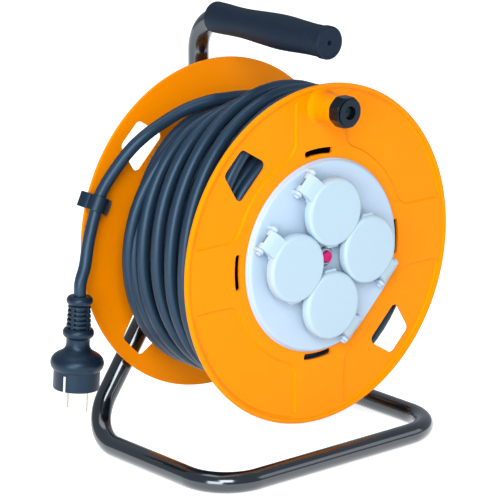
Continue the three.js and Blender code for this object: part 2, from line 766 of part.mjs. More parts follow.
function hingeEar(side) {
  const foot = panelFaceY + PANEL_PLATE - 0.3;
  const shape = new THREE.Shape();
  shape.moveTo(HINGE_REACH - KNUCKLE_RADIUS - 1, foot);
  shape.lineTo(HINGE_REACH + KNUCKLE_RADIUS, foot);
  shape.lineTo(HINGE_REACH + KNUCKLE_RADIUS, hingeY);
  shape.absarc(HINGE_REACH, hingeY, KNUCKLE_RADIUS, 0, -Math.PI, true);
  const options = { depth: EAR_THICKNESS, bevelEnabled: false, curveSegments: 2 };
  const low = side > 0 ? earInner : -earInner - EAR_THICKNESS;
  return new THREE.ExtrudeGeometry(shape, options).translate(0, 0, low);
}

// A round rod along the hinge axis, between two positions on it.
const hingeRod = (radius, from, to, sides) =>
  new THREE.CylinderGeometry(radius, radius, to - from, sides)
    .rotateX(Math.PI / 2)
    .translate(HINGE_REACH, hingeY, (from + to) / 2);

function socketPanel() {
  const face = panelFaceY;
  const foot = DRUM_FRONT_Y - CLEARANCE;
  const skirt = FLANGE_HOLE - TURNING_GAP;
  let body = solid(
    turned(
      [
        [0, face],
        [PANEL_FACE_RADIUS, face],
        [PANEL_FACE_RADIUS + 2.6, face + 1],
        [PANEL_RADIUS - 0.3, face + 3],
        [PANEL_RADIUS, foot],
        [skirt, foot],
        [skirt, foot + PANEL_SKIRT],
        [skirt - PANEL_PLATE, foot + PANEL_SKIRT],
        [skirt - PANEL_PLATE, panelBackY],
        [0, panelBackY],
      ],
      40,
    ),
  );
  // The rim is cut straight beside the outer pair of hinges.
  const chord = box([PANEL_CHORD, face - 1, -PANEL_RADIUS], [PANEL_RADIUS + 1, foot + 0.1, PANEL_RADIUS]);
  const skirtChord = box(
    [FLANGE_CHORD - TURNING_GAP, foot - 0.1, -PANEL_RADIUS],
    [PANEL_RADIUS + 1, foot + PANEL_SKIRT + 1, PANEL_RADIUS],
  );
  body = cut(body, swing(chord, 315), swing(skirtChord, 315));
  for (const angle of carrierScrewAngles) {
    const boss = ring(0, CARRIER_BOSS_RADIUS, panelBackY - 0.5, carrierFrontY - CLEARANCE, 10);
    const hole = ring(0, CARRIER_SCREW_RADIUS + CLEARANCE, panelBackY + 1, carrierFrontY + 1, 8);
    body = body.add(solid(swing(boss.translate(CARRIER_SCREW_CIRCLE, 0, 0), angle)));
    body = cut(body, swing(hole.translate(CARRIER_SCREW_CIRCLE, 0, 0), angle));
  }
  const wellHole = ring(0, WELL_RADIUS + WELL_WALL + CLEARANCE, face - 1, panelBackY + 1, WELL_SIDES);
  const bore = hingeRod(HINGE_PIN_RADIUS + CLEARANCE, -20, 20, 8);
  for (const socket of socketAngles.keys()) {
    body = body.add(solid(atSocket(hingeEar(-1), socket)));
    body = body.add(solid(atSocket(hingeEar(1), socket)));
    body = cut(body, atSocket(bore.clone(), socket), atSocket(wellHole.clone(), socket));
  }
  const neckHole = ring(0, CUTOUT_NECK + CLEARANCE, face - 1, panelBackY + 1, 20);
  return geometryOf(cut(body, neckHole));
}

// A socket's well. Its rim rests behind the panel, and its collar stands out in front.
function socketInsert(socket) {
  const outer = WELL_RADIUS + WELL_WALL;
  const rimY = panelBackY + CLEARANCE;
  let body = solid(
    turned(
      [
        [0, wellFloorY],
        [WELL_RADIUS, wellFloorY],
        [WELL_RADIUS, collarY],
        [outer, collarY],
        [outer, rimY],
        [outer + WELL_RIM, rimY],
        [outer + WELL_RIM, rimY + WELL_RIM_THICKNESS],
        [outer, rimY + WELL_RIM_THICKNESS],
        [outer, wellBackY],
        [0, wellBackY],
      ],
      WELL_SIDES,
    ),
  );
  const half = EARTH_WIDTH / 2 + CLEARANCE;
  for (const side of [-1, 1]) {
    const hole = ring(0, PIN_HOLE, wellFloorY - 1, wellBackY + 1, 8);
    hole.translate(0, 0, (side * PIN_SPACING) / 2);
    const reach = side * EARTH_REACH;
    const slot = box(
      [Math.min(reach, reach - side * EARTH_THICKNESS) - CLEARANCE, wellFloorY - 1, -half],
      [Math.max(reach, reach - side * EARTH_THICKNESS) + CLEARANCE, wellBackY + 1, half],
    );
    body = cut(body, hole, slot);
  }
  return clean(atSocket(geometryOf(body), socket));
}

// One strip under each well, with an earth spring standing up on either side of it.
function earthStrap(socket) {
  const back = wellBackY + CLEARANCE + EARTH_THICKNESS / 2;
  const reach = EARTH_REACH - EARTH_THICKNESS / 2;
  const top = collarY + 4;
  const line = [
    [-reach - 0.5, top],
    [-reach + 1.4, top + 4.5],
    [-reach, top + 9],
    [-reach, back],
    [reach, back],
    [reach, top + 9],
    [reach - 1.4, top + 4.5],
    [reach + 0.5, top],
  ];
  const options = { depth: EARTH_WIDTH, bevelEnabled: false };
  const strap = new THREE.ExtrudeGeometry(stripShape(line, EARTH_THICKNESS), options);
  return clean(atSocket(strap.translate(0, 0, -EARTH_WIDTH / 2), socket));
}

// Where the line (+1) or neutral (-1) contact of a socket lies.
function contactPoint(socket, side) {
  const at = new THREE.BufferGeometry().setFromPoints([vector(0, 0, (side * PIN_SPACING) / 2)]);
  const spun = swing(at, 135).attributes.position;
  const angle = radians(socketAngles[socket]);
  return [
    spun.getX(0) + SOCKET_CIRCLE * Math.cos(angle),
    spun.getZ(0) + SOCKET_CIRCLE * Math.sin(angle),
  ];
}

function contactCarrier() {
  let body = solid(ring(0, CARRIER_RADIUS, carrierFrontY, carrierBackY, 24));
  for (const socket of socketAngles.keys()) {
    for (const side of [-1, 1]) {
      const [x, z] = contactPoint(socket, side);
      const hole = ring(0, RECEPTACLE_RADIUS + CLEARANCE, carrierFrontY - 1, carrierBackY + 1, 8);
      body = cut(body, hole.translate(x, 0, z));
    }
  }
  for (const angle of carrierScrewAngles) {
    const hole = ring(0, CARRIER_SCREW_RADIUS + CLEARANCE, carrierFrontY - 1, carrierBackY + 1, 10);
    body = cut(body, swing(hole.translate(CARRIER_SCREW_CIRCLE, 0, 0), angle));
  }
  return geometryOf(body);
}

function carrierScrew(angle) {
  const seat = carrierBackY + CLEARANCE;
  const tip = panelBackY + 2;
  const screw = turned(
    [
      [0, tip],
      [CARRIER_SCREW_RADIUS, tip + 1.5],
      [CARRIER_SCREW_RADIUS, seat],
      [CARRIER_SCREW_HEAD, seat],
      [CARRIER_SCREW_HEAD - 0.6, seat + 1.8],
      [0, seat + 1.8],
    ],
    10,
  );
  return clean(swing(screw.translate(CARRIER_SCREW_CIRCLE, 0, 0), angle));
}

// A cross of brass strip behind the carrier, with a sleeve for a pin behind each socket.
function busbar(side) {
  const level = carrierBackY + CLEARANCE + (side < 0 ? BUSBAR_STEP : 0);
  const points = [...socketAngles.keys()].map((socket) => contactPoint(socket, side));
  const xs = points.map(([x]) => x);
  const zs = points.map(([, z]) => z);
  const middle = [(Math.min(...xs) + Math.max(...xs)) / 2, (Math.min(...zs) + Math.max(...zs)) / 2];
  const half = BUSBAR_WIDTH / 2;
  const back = level + BUSBAR_THICKNESS;
  const bars = [
    box([Math.min(...xs), level, middle[1] - half], [Math.max(...xs), back, middle[1] + half]),
    box([middle[0] - half, level, Math.min(...zs)], [middle[0] + half, back, Math.max(...zs)]),
  ];
  const sleeves = points.map(([x, z]) =>
    ring(0, RECEPTACLE_RADIUS, carrierFrontY, back, 6).translate(x, 0, z),
  );
  const bores = points.map(([x, z]) =>
    ring(0, PLUG_PIN_RADIUS - 0.1, carrierFrontY - 1, level - 1, 6).translate(x, 0, z),
  );
  return geometryOf(cut(join(bars[0], bars[1], ...sleeves), ...bores));
}

// ---------- Socket lids and their hinges ----------

const lidTopY = panelFaceY - LID_HEIGHT;
const lidFootY = panelFaceY - CLEARANCE;

function lid(socket) {
  const top = lidTopY;
  const inner = LID_RADIUS - LID_SHELL;
  const disc = turned(
    [
      [0, top],
      [LID_RADIUS - 3.6, top],
      [LID_RADIUS - 1.2, top + 0.9],
      [LID_RADIUS, top + 2.6],
      [LID_RADIUS, lidFootY],
      [inner, lidFootY],
      [inner, top + LID_SHELL],
      [0, top + LID_SHELL],
    ],
    22,
  );
  const armTop = hingeY - KNUCKLE_RADIUS;
  const arm = box(
    [LID_RADIUS - 2.2, armTop, -ARM_HALF_WIDTH],
    [HINGE_REACH, armTop + LID_SHELL + 0.4, ARM_HALF_WIDTH],
  );
  const knuckle = hingeRod(KNUCKLE_RADIUS, -ARM_HALF_WIDTH, ARM_HALF_WIDTH, 10);
  const tab = plate(
    roundedShape(
      [
        [LID_RADIUS - 1.7, -TAB_WIDTH / 2],
        [LID_RADIUS + TAB_REACH, -TAB_WIDTH / 2],
        [LID_RADIUS + TAB_REACH, TAB_WIDTH / 2],
        [LID_RADIUS - 1.7, TAB_WIDTH / 2],
      ],
      2,
    ),
    lidTopY + 3.4,
    lidTopY + 6,
    1,
  );
  const springRoom = SPRING_TURNS * SPRING_PITCH * 0.5 + SPRING_WIRE + 0.8;
  const coil = SPRING_COIL_RADIUS + SPRING_WIRE + CLEARANCE;
  const pocket = hingeRod(coil, -springRoom, springRoom, 12);
  const mouth = box(
    [HINGE_REACH - SPRING_LEG - 0.6, hingeY, -springRoom],
    [HINGE_REACH + 9, hingeY + 9, springRoom],
  );
  const edge = box(
    [HINGE_REACH, hingeY - POCKET_MOUTH, -springRoom],
    [HINGE_REACH + 9, hingeY + 9, springRoom],
  );
  const bore = hingeRod(HINGE_PIN_RADIUS + CLEARANCE, -20, 20, 8);
  const body = cut(join(disc, arm, knuckle, swing(tab, TAB_ANGLE)), pocket, mouth, edge, bore);
  return clean(atSocket(geometryOf(body), socket));
}

function hingePin(socket) {
  const reach = earInner + EAR_THICKNESS + CLEARANCE;
  const head = (side) =>
    hingeRod(
      HINGE_HEAD_RADIUS,
      side > 0 ? reach : -reach - 1.2,
      side > 0 ? reach + 1.2 : -reach,
      10,
    );
  const shaft = hingeRod(HINGE_PIN_RADIUS, -reach - 1, reach + 1, 8);
  return clean(atSocket(geometryOf(join(shaft, head(-1), head(1))), socket));
}

// A torsion spring round the hinge pin, with a leg that rests on the panel's side of the arm.
class SpringPath extends THREE.Curve {
  getPoint(t, target = new THREE.Vector3()) {
    const at = t * (SPRING_TURNS * 8 + 1) - 1;
    const turn = Math.max(at, 0) / 8;
    const angle = Math.PI / 2 - turn * 2 * Math.PI;
    const overrun = Math.max(-at, 0);
    return target.set(
      HINGE_REACH + SPRING_COIL_RADIUS * Math.cos(angle) - overrun * SPRING_LEG,
      hingeY + SPRING_COIL_RADIUS * Math.sin(angle),
      (turn - SPRING_TURNS / 2) * SPRING_PITCH,
    );
  }

  getUtoTmapping(u) {
    return u;
  }
}

function lidSpring(socket) {
  const steps = SPRING_TURNS * 8 + 1;
  const wire = sweep(circlePolygon(SPRING_WIRE, 5), new SpringPath(), steps);
  return clean(atSocket(wire, socket));
}

// ---------- Thermal cut-out and reset button ----------

const bezelY = panelFaceY - CLEARANCE - CUTOUT_BEZEL;
const buttonFaceY = panelFaceY - BUTTON_PROUD;
const buttonBackY = buttonFaceY + BUTTON_LENGTH;
const buttonBoreY = buttonBackY + BUTTON_TRAVEL + CLEARANCE;

function cutoutBody() {
  const body = turned(
    [
      [0, bezelY],
      [CUTOUT_NECK, bezelY],
      [CUTOUT_NECK, panelBackY + CLEARANCE],
      [CUTOUT_BODY_RADIUS, panelBackY + CLEARANCE],
      [CUTOUT_BODY_RADIUS, buttonBoreY + 2],
      [0, buttonBoreY + 2],
    ],
    16,
  );
  return geometryOf(cut(solid(body), ring(0, BUTTON_RADIUS + TURNING_GAP, bezelY - 1, buttonBoreY, 16)));
}

function resetButton() {
  return turned(
    [
      [0, buttonFaceY],
      [BUTTON_RADIUS - 1, buttonFaceY],
      [BUTTON_RADIUS, buttonFaceY + 1],
      [BUTTON_RADIUS, buttonBackY],
      [0, buttonBackY],
    ],
    16,
  );
}

// ---------- Crank knob ----------

const neckFaceY = DRUM_FRONT_Y - KNOB_NECK_LENGTH;
const knobBackY = neckFaceY - TURNING_GAP;
const knobFrontY = knobBackY - KNOB_DEPTH;
const pinHeadY = knobFrontY + 1.6;

function crankKnob() {
  const lobes = new THREE.Shape();
  const steps = 4;
  for (let k = 0; k < KNOB_LOBES * steps; k++) {
    const angle = (k * 2 * Math.PI) / (KNOB_LOBES * steps);
    const lift = Math.abs(Math.cos((KNOB_LOBES / 2) * angle)) ** 0.6;
    const radius = KNOB_RADIUS - 0.8 + 0.8 * lift;
    const [x, z] = [radius * Math.cos(angle), radius * Math.sin(angle)];
    if (k === 0) lobes.moveTo(x, z);
    else lobes.lineTo(x, z);
  }
  lobes.closePath();
  const sides = plate(lobes, knobFrontY, knobBackY);
  const round = turned(
    [
      [0, knobFrontY],
      [KNOB_RADIUS - 1.8, knobFrontY],
      [KNOB_RADIUS, knobFrontY + 1.8],
      [KNOB_RADIUS, knobBackY - 0.8],
      [KNOB_RADIUS - 0.8, knobBackY],
      [0, knobBackY],
    ],
    24,
  );
  const recess = ring(0, KNOB_PIN_HEAD + TURNING_GAP, knobFrontY - 1, pinHeadY + 2.2 + TURNING_GAP, 16);
  const groove = ring(8.2, 9.6, knobFrontY - 1, knobFrontY + 0.7, 16);
  const bore = ring(0, KNOB_BORE, knobFrontY - 1, knobBackY + 1, 12);
  return geometryOf(cut(solid(sides).intersect(solid(round)), recess, groove, bore));
}

function knobPin() {
  return turned(
    [
      [0, pinHeadY],
      [KNOB_PIN_HEAD, pinHeadY],
      [KNOB_PIN_HEAD, pinHeadY + 2.2],
      [KNOB_PIN_RADIUS, pinHeadY + 2.2],
      [KNOB_PIN_RADIUS, DRUM_FRONT_Y - 0.2],
      [0, DRUM_FRONT_Y - 0.2],
    ],
    12,
  );
}

// ---------- Cable on the drum ----------

// Centre line radius of the outer layer of turns: hung a little low, piled up near the top in front.
function layerRadius(angle, y) {
  const away = THREE.MathUtils.euclideanModulo(angle - PILE_ANGLE + 180, 360) - 180;
  const spread = Math.min(Math.abs(away) / PILE_HALF_SPREAD, 1);
  const pile = PILE_HEIGHT * Math.cos((spread * Math.PI) / 2) ** 2;
  const front = 1 - smooth(y, PILE_FRONT_Y, PILE_REAR_Y);
  return WINDING_RADIUS - WINDING_DROP * Math.sin(radians(angle)) + pile * front;
}

const LIFT = 2 * CABLE_RADIUS + OVER_GAP; // a turn that crosses over the others
// The last turn crosses back over the front turns and rises off the drum as the tail.
const LEAD = [
  // angle from the start of its turn, y, lift over the layer
  [195, null, 0],
  [228, LEAD_FRONT_Y, LIFT],
  [340, LEAD_REAR_Y, LIFT],
  [415, LEAD_REAR_Y, LIFT],
  [440, LEAD_REAR_Y + 1, LIFT + 1],
  [456, LEAD_REAR_Y + LEAD_SWING, LEAD_RISE],
];
const STRAIGHT_END = 2 * CABLE_RADIUS; // each end of the cable runs straight this far
const WINDING_TURNS = 6;

const windingPlace = (angle, y, lift) => {
  const radius = layerRadius(angle, y) + lift;
  return vector(radius * Math.cos(radians(angle)), y, radius * Math.sin(radians(angle)));
};

const layerY = (angle) => WINDING_FIRST_Y - (WINDING_PITCH * (angle - WINDING_START)) / 360;

class WindingPath extends THREE.Curve {
  constructor() {
    super();
    const wound = WINDING_TURNS * 360;
    this.keys = LEAD.map(([angle, y, lift]) => [wound + angle, y ?? layerY(wound + angle), lift]);
    this.endAngle = this.keys.at(-1)[0];
    this.turnEnd = this.at(this.endAngle);
    this.direction = this.turnEnd.clone().sub(this.at(this.endAngle - 0.5)).normalize();
    this.end = this.turnEnd.clone().addScaledVector(this.direction, STRAIGHT_END);
    this.windingSteps = Math.round(((this.endAngle - WINDING_START) / 360) * WINDING_TURN_STEPS);
    this.steps = this.windingSteps + 1;
  }

  at(angle) {
    const keys = this.keys;
    if (angle <= keys[0][0]) return windingPlace(angle, layerY(angle), 0);
    const next = keys.findIndex(([keyAngle]) => keyAngle >= angle - 1e-9);
    const [fromAngle, fromY, fromLift] = keys[next - 1];
    const [toAngle, toY, toLift] = keys[next];
    const ease = smooth(angle, fromAngle, toAngle);
    const even = (angle - fromAngle) / (toAngle - fromAngle);
    const share = next === keys.length - 1 ? even : ease;
    return windingPlace(angle, fromY + (toY - fromY) * share, fromLift + (toLift - fromLift) * ease);
  }

  getPoint(t, target = new THREE.Vector3()) {
    const step = t * this.steps;
    if (step > this.windingSteps + 0.5) return target.copy(this.end);
    const share = Math.min(step / this.windingSteps, 1);
    return target.copy(this.at(WINDING_START + (this.endAngle - WINDING_START) * share));
  }

  getUtoTmapping(u) {
    return u;
  }
}

function tube(path, radius, sides, steps) {
  return sweep(circlePolygon(radius, sides), path, steps);
}

const windingPath = new WindingPath();

function cableWinding() {
  return clean(tube(windingPath, CABLE_RADIUS, WINDING_SIDES, windingPath.steps));
}

// The least gap between two turns, measured on points along the tube as it is built.
function leastTurnGap() {
  const stations = windingPath.getPoints(windingPath.steps);
  const points = [];
  for (let i = 0; i < stations.length - 1; i++) {
    for (let k = 0; k < 4; k++) points.push(stations[i].clone().lerp(stations[i + 1], k / 4));
  }
  const halfTurn = WINDING_TURN_STEPS * 2;
  let least = Infinity;
  for (let i = 0; i < points.length; i++) {
    for (let j = i + halfTurn; j < points.length; j++) least = Math.min(least, points[i].distanceTo(points[j]));
  }
  return least - 2 * CABLE_RADIUS;
}

console.log(`least gap between turns: ${leastTurnGap().toFixed(2)} mm`);

// The inner layers, as one plain ring under the outer turns.
function windingCore() {
  const around = 32;
  const rows = 6;
  const skin = [];
  const rowY = (row) => CORE_FRONT_Y + ((CORE_REAR_Y - CORE_FRONT_Y) * row) / rows;
  const bore = (BARREL_RADIUS + CLEARANCE) / Math.cos(Math.PI / around);
  const point = (step, row) => {
    const angle = (step * 360) / around;
    if (row < 0 || row > rows) {
      const y = row < 0 ? CORE_FRONT_Y : CORE_REAR_Y;
      return vector(bore * Math.cos(radians(angle)), y, bore * Math.sin(radians(angle)));
    }
    const over = [-CABLE_RADIUS, 0, CABLE_RADIUS].map((offset) => layerRadius(angle, rowY(row) + offset));
    const lowest = Math.min(...over) * Math.cos(Math.PI / WINDING_TURN_STEPS);
    const radius = lowest - CABLE_RADIUS - TURNING_GAP;
    return vector(radius * Math.cos(radians(angle)), rowY(row), radius * Math.sin(radians(angle)));
  };
  for (let step = 0; step < around; step++) {
    for (let row = -1; row <= rows + 1; row++) {
      const nextRow = row > rows ? -1 : row + 1;
      const corners = [point(step, row), point(step + 1, row), point(step + 1, nextRow), point(step, nextRow)];
      skin.push(corners[0], corners[1], corners[2], corners[0], corners[2], corners[3]);
    }
  }
  return clean(new THREE.BufferGeometry().setFromPoints(skin));
}

// The free end, from the top of the drum through the clip and down to the plug.
const TAIL_ROUTE = [
  [-51.3, 36, 119.2],
  [-63.9, 40.5, 115.1],
  [-78.8, 42, 107.7],
  [-92, 43, 98.2],
  [-106.2, 47, 86],
  [-118, 52.4, 70.5],
  [-127.4, 56.2, 56],
  [-132.4, 57, 47.6],
  [-134.9, 57, 41.2],
  [-137.2, 56.8, 34.8],
  [-141.5, 55.9, 25],
  [-148.7, 53.5, 10],
  [-155.6, 51.5, -8],
];

// A smooth route whose first and last runs stay straight.
class TailPath extends THREE.Curve {
  constructor(route) {
    super();
    this.route = route;
    this.middle = new THREE.CatmullRomCurve3(route.slice(1, -1), false, 'centripetal');
  }

  getPoint(t, target = new THREE.Vector3()) {
    if (t <= 0) return target.copy(this.route[0]);
    if (t >= 1) return target.copy(this.route.at(-1));
    return target.copy(this.middle.getPointAt(THREE.MathUtils.clamp((t * 38 - 1) / 36, 0, 1)));
  }

  getUtoTmapping(u) {
    return u;
  }
}

const plugAxis = vector(0, 0, -1).applyAxisAngle(vector(0, 1, 0), radians(PLUG_TILT));

function cableTail() {
  const start = windingPath.end.clone().addScaledVector(windingPath.direction, CLEARANCE);
  const end = vector(...PLUG_TOP).addScaledVector(plugAxis, -CLEARANCE);
  const route = [
    start,
    start.clone().addScaledVector(windingPath.direction, STRAIGHT_END),
    ...TAIL_ROUTE.map((point) => vector(...point)),
    end.clone().addScaledVector(plugAxis, -STRAIGHT_END),
    end,
  ];
  return clean(tube(new TailPath(route), CABLE_RADIUS, 6, 38));
}

// ---------- Cord clip on the rear rim ----------

function cordClip() {
  const arch = CABLE_RADIUS + CLIP_GAP + CLIP_THICKNESS / 2;
  const rimY = rearFaceY + RIM_PROUD + CLEARANCE + CLIP_THICKNESS / 2;
  const footY = rearInnerY - PANEL_SINK - CLEARANCE - CLIP_THICKNESS / 2;
  const reach = FLANGE_RADIUS + CLIP_OVERHANG + CLIP_THICKNESS / 2;
  const archPoint = (degrees) => [
    CLIP_CORD_RADIUS + arch * Math.cos(radians(degrees)),
    CLIP_CORD_Y + arch * Math.sin(radians(degrees)),
  ];
  const line = [
    [rimInner - 3, rimY],
    [reach - 1.5, rimY],
    [reach, rimY - 1.5],
    [reach, footY + 1],
    archPoint(28),
    archPoint(0),
    archPoint(-30),
    archPoint(-60),
    archPoint(-90),
    archPoint(-120),
    archPoint(-150),
    archPoint(-180),
    archPoint(-208),
    [CLIP_CORD_RADIUS - arch - 2.2, footY],
    [CLIP_CORD_RADIUS - arch - 6, footY],
    [CLIP_CORD_RADIUS - arch - 8.4, footY - 2.4],
  ];
  const options = { depth: CLIP_WIDTH, bevelEnabled: false };
  const strip = new THREE.ExtrudeGeometry(stripShape(line, CLIP_THICKNESS), options);
  return clean(swing(strip.translate(0, 0, -CLIP_WIDTH / 2), CLIP_ANGLE));
}

// ---------- Plug (about its own axis, the cable coming in at the top) ----------

const pinFootZ = PLUG_FACE + 8;

function plugBody() {
  const profile = [
    [0, 0],
    [10.4, 0],
    [11.4, -1],
    [11.4, -8.6],
    [9.4, -10],
  ];
  const ribs = 3;
  const ribPitch = 5.6;
  for (let k = 0; k < ribs; k++) {
    const top = -12 - k * ribPitch;
    profile.push([8.4, top], [8.4, top - 1.8], [9.6, top - 2.4], [9.6, top - 4.6]);
  }
  profile.push(
    [10.6, -29.5],
    [12.9, -30.5],
    [12.9, -35.6],
    [10.6, -37.5],
    [10.8, -46],
    [14, -49],
    [21.6, -50.6],
    [22.5, -52],
    [22.5, -63],
    [21.6, -64.4],
    [PLUG_FACE_RADIUS + 0.6, -66],
    [PLUG_FACE_RADIUS, PLUG_FACE + 1.2],
    [PLUG_FACE_RADIUS - 1.2, PLUG_FACE],
    [0, PLUG_FACE],
  );
  let body = solid(turned(profile, 16).rotateX(Math.PI / 2));
  for (const side of [-1, 1]) {
    const hole = new THREE.CylinderGeometry(PLUG_PIN_RADIUS + CLEARANCE, PLUG_PIN_RADIUS + CLEARANCE, 20, 12);
    hole.rotateX(Math.PI / 2).translate((side * PIN_SPACING) / 2, 0, pinFootZ + CLEARANCE - 10);
    body = cut(body, hole);
    const seat = PLUG_FACE_RADIUS - 1.6;
    const strip = box([-3.3, seat, PLUG_FACE - 1], [3.3, PLUG_FACE_RADIUS + 3, PLUG_FACE + 16]);
    body = cut(body, side > 0 ? strip : strip.rotateZ(Math.PI));
  }
  return geometryOf(body);
}

function plugPin(side) {
  const tip = PLUG_FACE - PLUG_PIN_LENGTH;
  return turned(
    [
      [0, pinFootZ],
      [PLUG_PIN_RADIUS, pinFootZ],
      [PLUG_PIN_RADIUS, tip + 1.6],
      [PLUG_PIN_RADIUS * 0.5, tip],
      [0, tip],
    ],
    12,
  )
    .rotateX(Math.PI / 2)
    .translate((side * PIN_SPACING) / 2, 0, 0);
}

function plugEarth(side) {
  const low = PLUG_FACE_RADIUS - 1.6 + CLEARANCE;
  const contact = box([-3, low, PLUG_FACE + 0.4], [3, low + 1.2, PLUG_FACE + 16 - CLEARANCE]);
  return side > 0 ? contact : contact.rotateZ(Math.PI);
}

// ---------- Assembly ----------

const reel = new THREE.Group();

const stand = new THREE.Group();
stand.add(piece('frame_tube', frameTube(), blackPaint()));
stand.add(piece('handle_grip', handleGrip(), gripRubber()));

const hub = new THREE.Group();
hub.position.z = HUB_HEIGHT;
hub.add(piece('axle_bracket', axleBracket(), blackPaint()));
hub.add(piece('axle_washer', axleWasher(), zincSteel()));
hub.add(piece('axle_nut', axleNut(), zincSteel()));
hub.add(piece('hub_bush_front', clean(hubBush(frontBushY, 1)), whiteAcetal()));
hub.add(piece('hub_bush_rear', clean(hubBush(plateFrontY - CLEARANCE, -1)), whiteAcetal()));

hub.add(piece('front_flange', frontFlange(), orangePlastic()));
hub.add(piece('rear_flange', rearFlange(), orangePlastic()));
hub.add(piece('drum_barrel', drumBarrel(), orangePlastic()));
bossAngles.forEach((angle, k) => hub.add(piece(`flange_screw_${k + 1}`, flangeScrew(angle), zincSteel())));

hub.add(piece('socket_panel', socketPanel(), panelPlastic()));
hub.add(piece('contact_carrier', contactCarrier(), blackPlastic()));
carrierScrewAngles.forEach((angle, k) => {
  hub.add(piece(`carrier_screw_${k + 1}`, carrierScrew(angle), zincSteel()));
});
hub.add(piece('busbar_line', busbar(1), brass()));
hub.add(piece('busbar_neutral', busbar(-1), brass()));
for (const socket of socketAngles.keys()) {
  const number = socket + 1;
  hub.add(piece(`socket_insert_${number}`, socketInsert(socket), panelPlastic()));
  hub.add(piece(`earth_strap_${number}`, earthStrap(socket), brass()));
  hub.add(piece(`socket_lid_${number}`, lid(socket), lidPlastic()));
  hub.add(piece(`hinge_pin_${number}`, hingePin(socket), springSteel()));
  hub.add(piece(`lid_spring_${number}`, lidSpring(socket), springSteel()));
}
hub.add(piece('thermal_cutout', cutoutBody(), blackPlastic()));
hub.add(piece('reset_button', clean(resetButton()), redPlastic()));

const knob = new THREE.Group();
knob.position.z = knobCircle;
knob.add(piece('crank_knob', crankKnob(), blackPlastic()));
knob.add(piece('knob_pin', clean(knobPin()), zincSteel()));
hub.add(knob);

hub.add(piece('cord_clip', cordClip(), blackPlastic()));
hub.add(piece('winding_core', windingCore(), cableRubber()));
hub.add(piece('cable_winding', cableWinding(), cableRubber()));
hub.add(piece('cable_tail', cableTail(), cableRubber()));

const plug = new THREE.Group();
plug.position.set(...PLUG_TOP);
plug.rotation.order = 'YXZ';
plug.rotation.set(0, radians(PLUG_TILT), radians(PLUG_PIN_TURN));
plug.add(piece('plug_body', plugBody(), blackPlastic()));
for (const side of [-1, 1]) {
  const number = side < 0 ? 1 : 2;
  plug.add(piece(`plug_pin_${number}`, clean(plugPin(side)), nickel()));
  plug.add(piece(`plug_earth_${number}`, clean(plugEarth(side)), nickel()));
}
hub.add(plug);

reel.add(stand, hub);
reel.position.y = CENTRE_SHIFT_Y;

export default reel;
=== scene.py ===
import math

import bmesh
import bpy
from mathutils import Matrix, Vector

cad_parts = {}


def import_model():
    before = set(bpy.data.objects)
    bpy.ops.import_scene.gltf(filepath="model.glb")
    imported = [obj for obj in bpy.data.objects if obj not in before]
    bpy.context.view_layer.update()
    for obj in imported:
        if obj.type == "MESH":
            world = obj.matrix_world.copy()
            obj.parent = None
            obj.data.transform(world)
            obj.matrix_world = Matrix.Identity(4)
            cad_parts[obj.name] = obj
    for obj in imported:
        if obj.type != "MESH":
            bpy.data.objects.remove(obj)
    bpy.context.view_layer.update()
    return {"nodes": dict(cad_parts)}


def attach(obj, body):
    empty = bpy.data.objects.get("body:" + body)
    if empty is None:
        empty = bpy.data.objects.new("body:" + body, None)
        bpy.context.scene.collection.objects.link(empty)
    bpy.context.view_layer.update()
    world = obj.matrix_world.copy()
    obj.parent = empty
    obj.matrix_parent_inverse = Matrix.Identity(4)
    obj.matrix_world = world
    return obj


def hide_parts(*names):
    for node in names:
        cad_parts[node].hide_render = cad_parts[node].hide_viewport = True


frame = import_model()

# Lengths in this script are millimetres about the drum's centre, and become metres in the row frame.
MM = 0.001
HUB = Vector((0, 3.8, 181))


def world(point):
    return (Vector(point) + HUB) * MM


# ---------- Materials ----------

def linear(code):
    values = [int(code[i:i + 2], 16) / 255 for i in (0, 2, 4)]
    return tuple(v / 12.92 if v <= 0.04045 else ((v + 0.055) / 1.055) ** 2.4 for v in values) + (1,)


def node(tree, kind, inputs=None, **settings):
    made = tree.nodes.new(kind)
    for key, value in settings.items():
        setattr(made, key, value)
    for key, value in (inputs or {}).items():
        if isinstance(value, bpy.types.NodeSocket):
            tree.links.new(value, made.inputs[key])
        else:
            made.inputs[key].default_value = value
    return made


def blank(name):
    material = bpy.data.materials.new(name)
    material.use_nodes = True
    tree = material.node_tree
    tree.nodes.clear()
    return material, tree


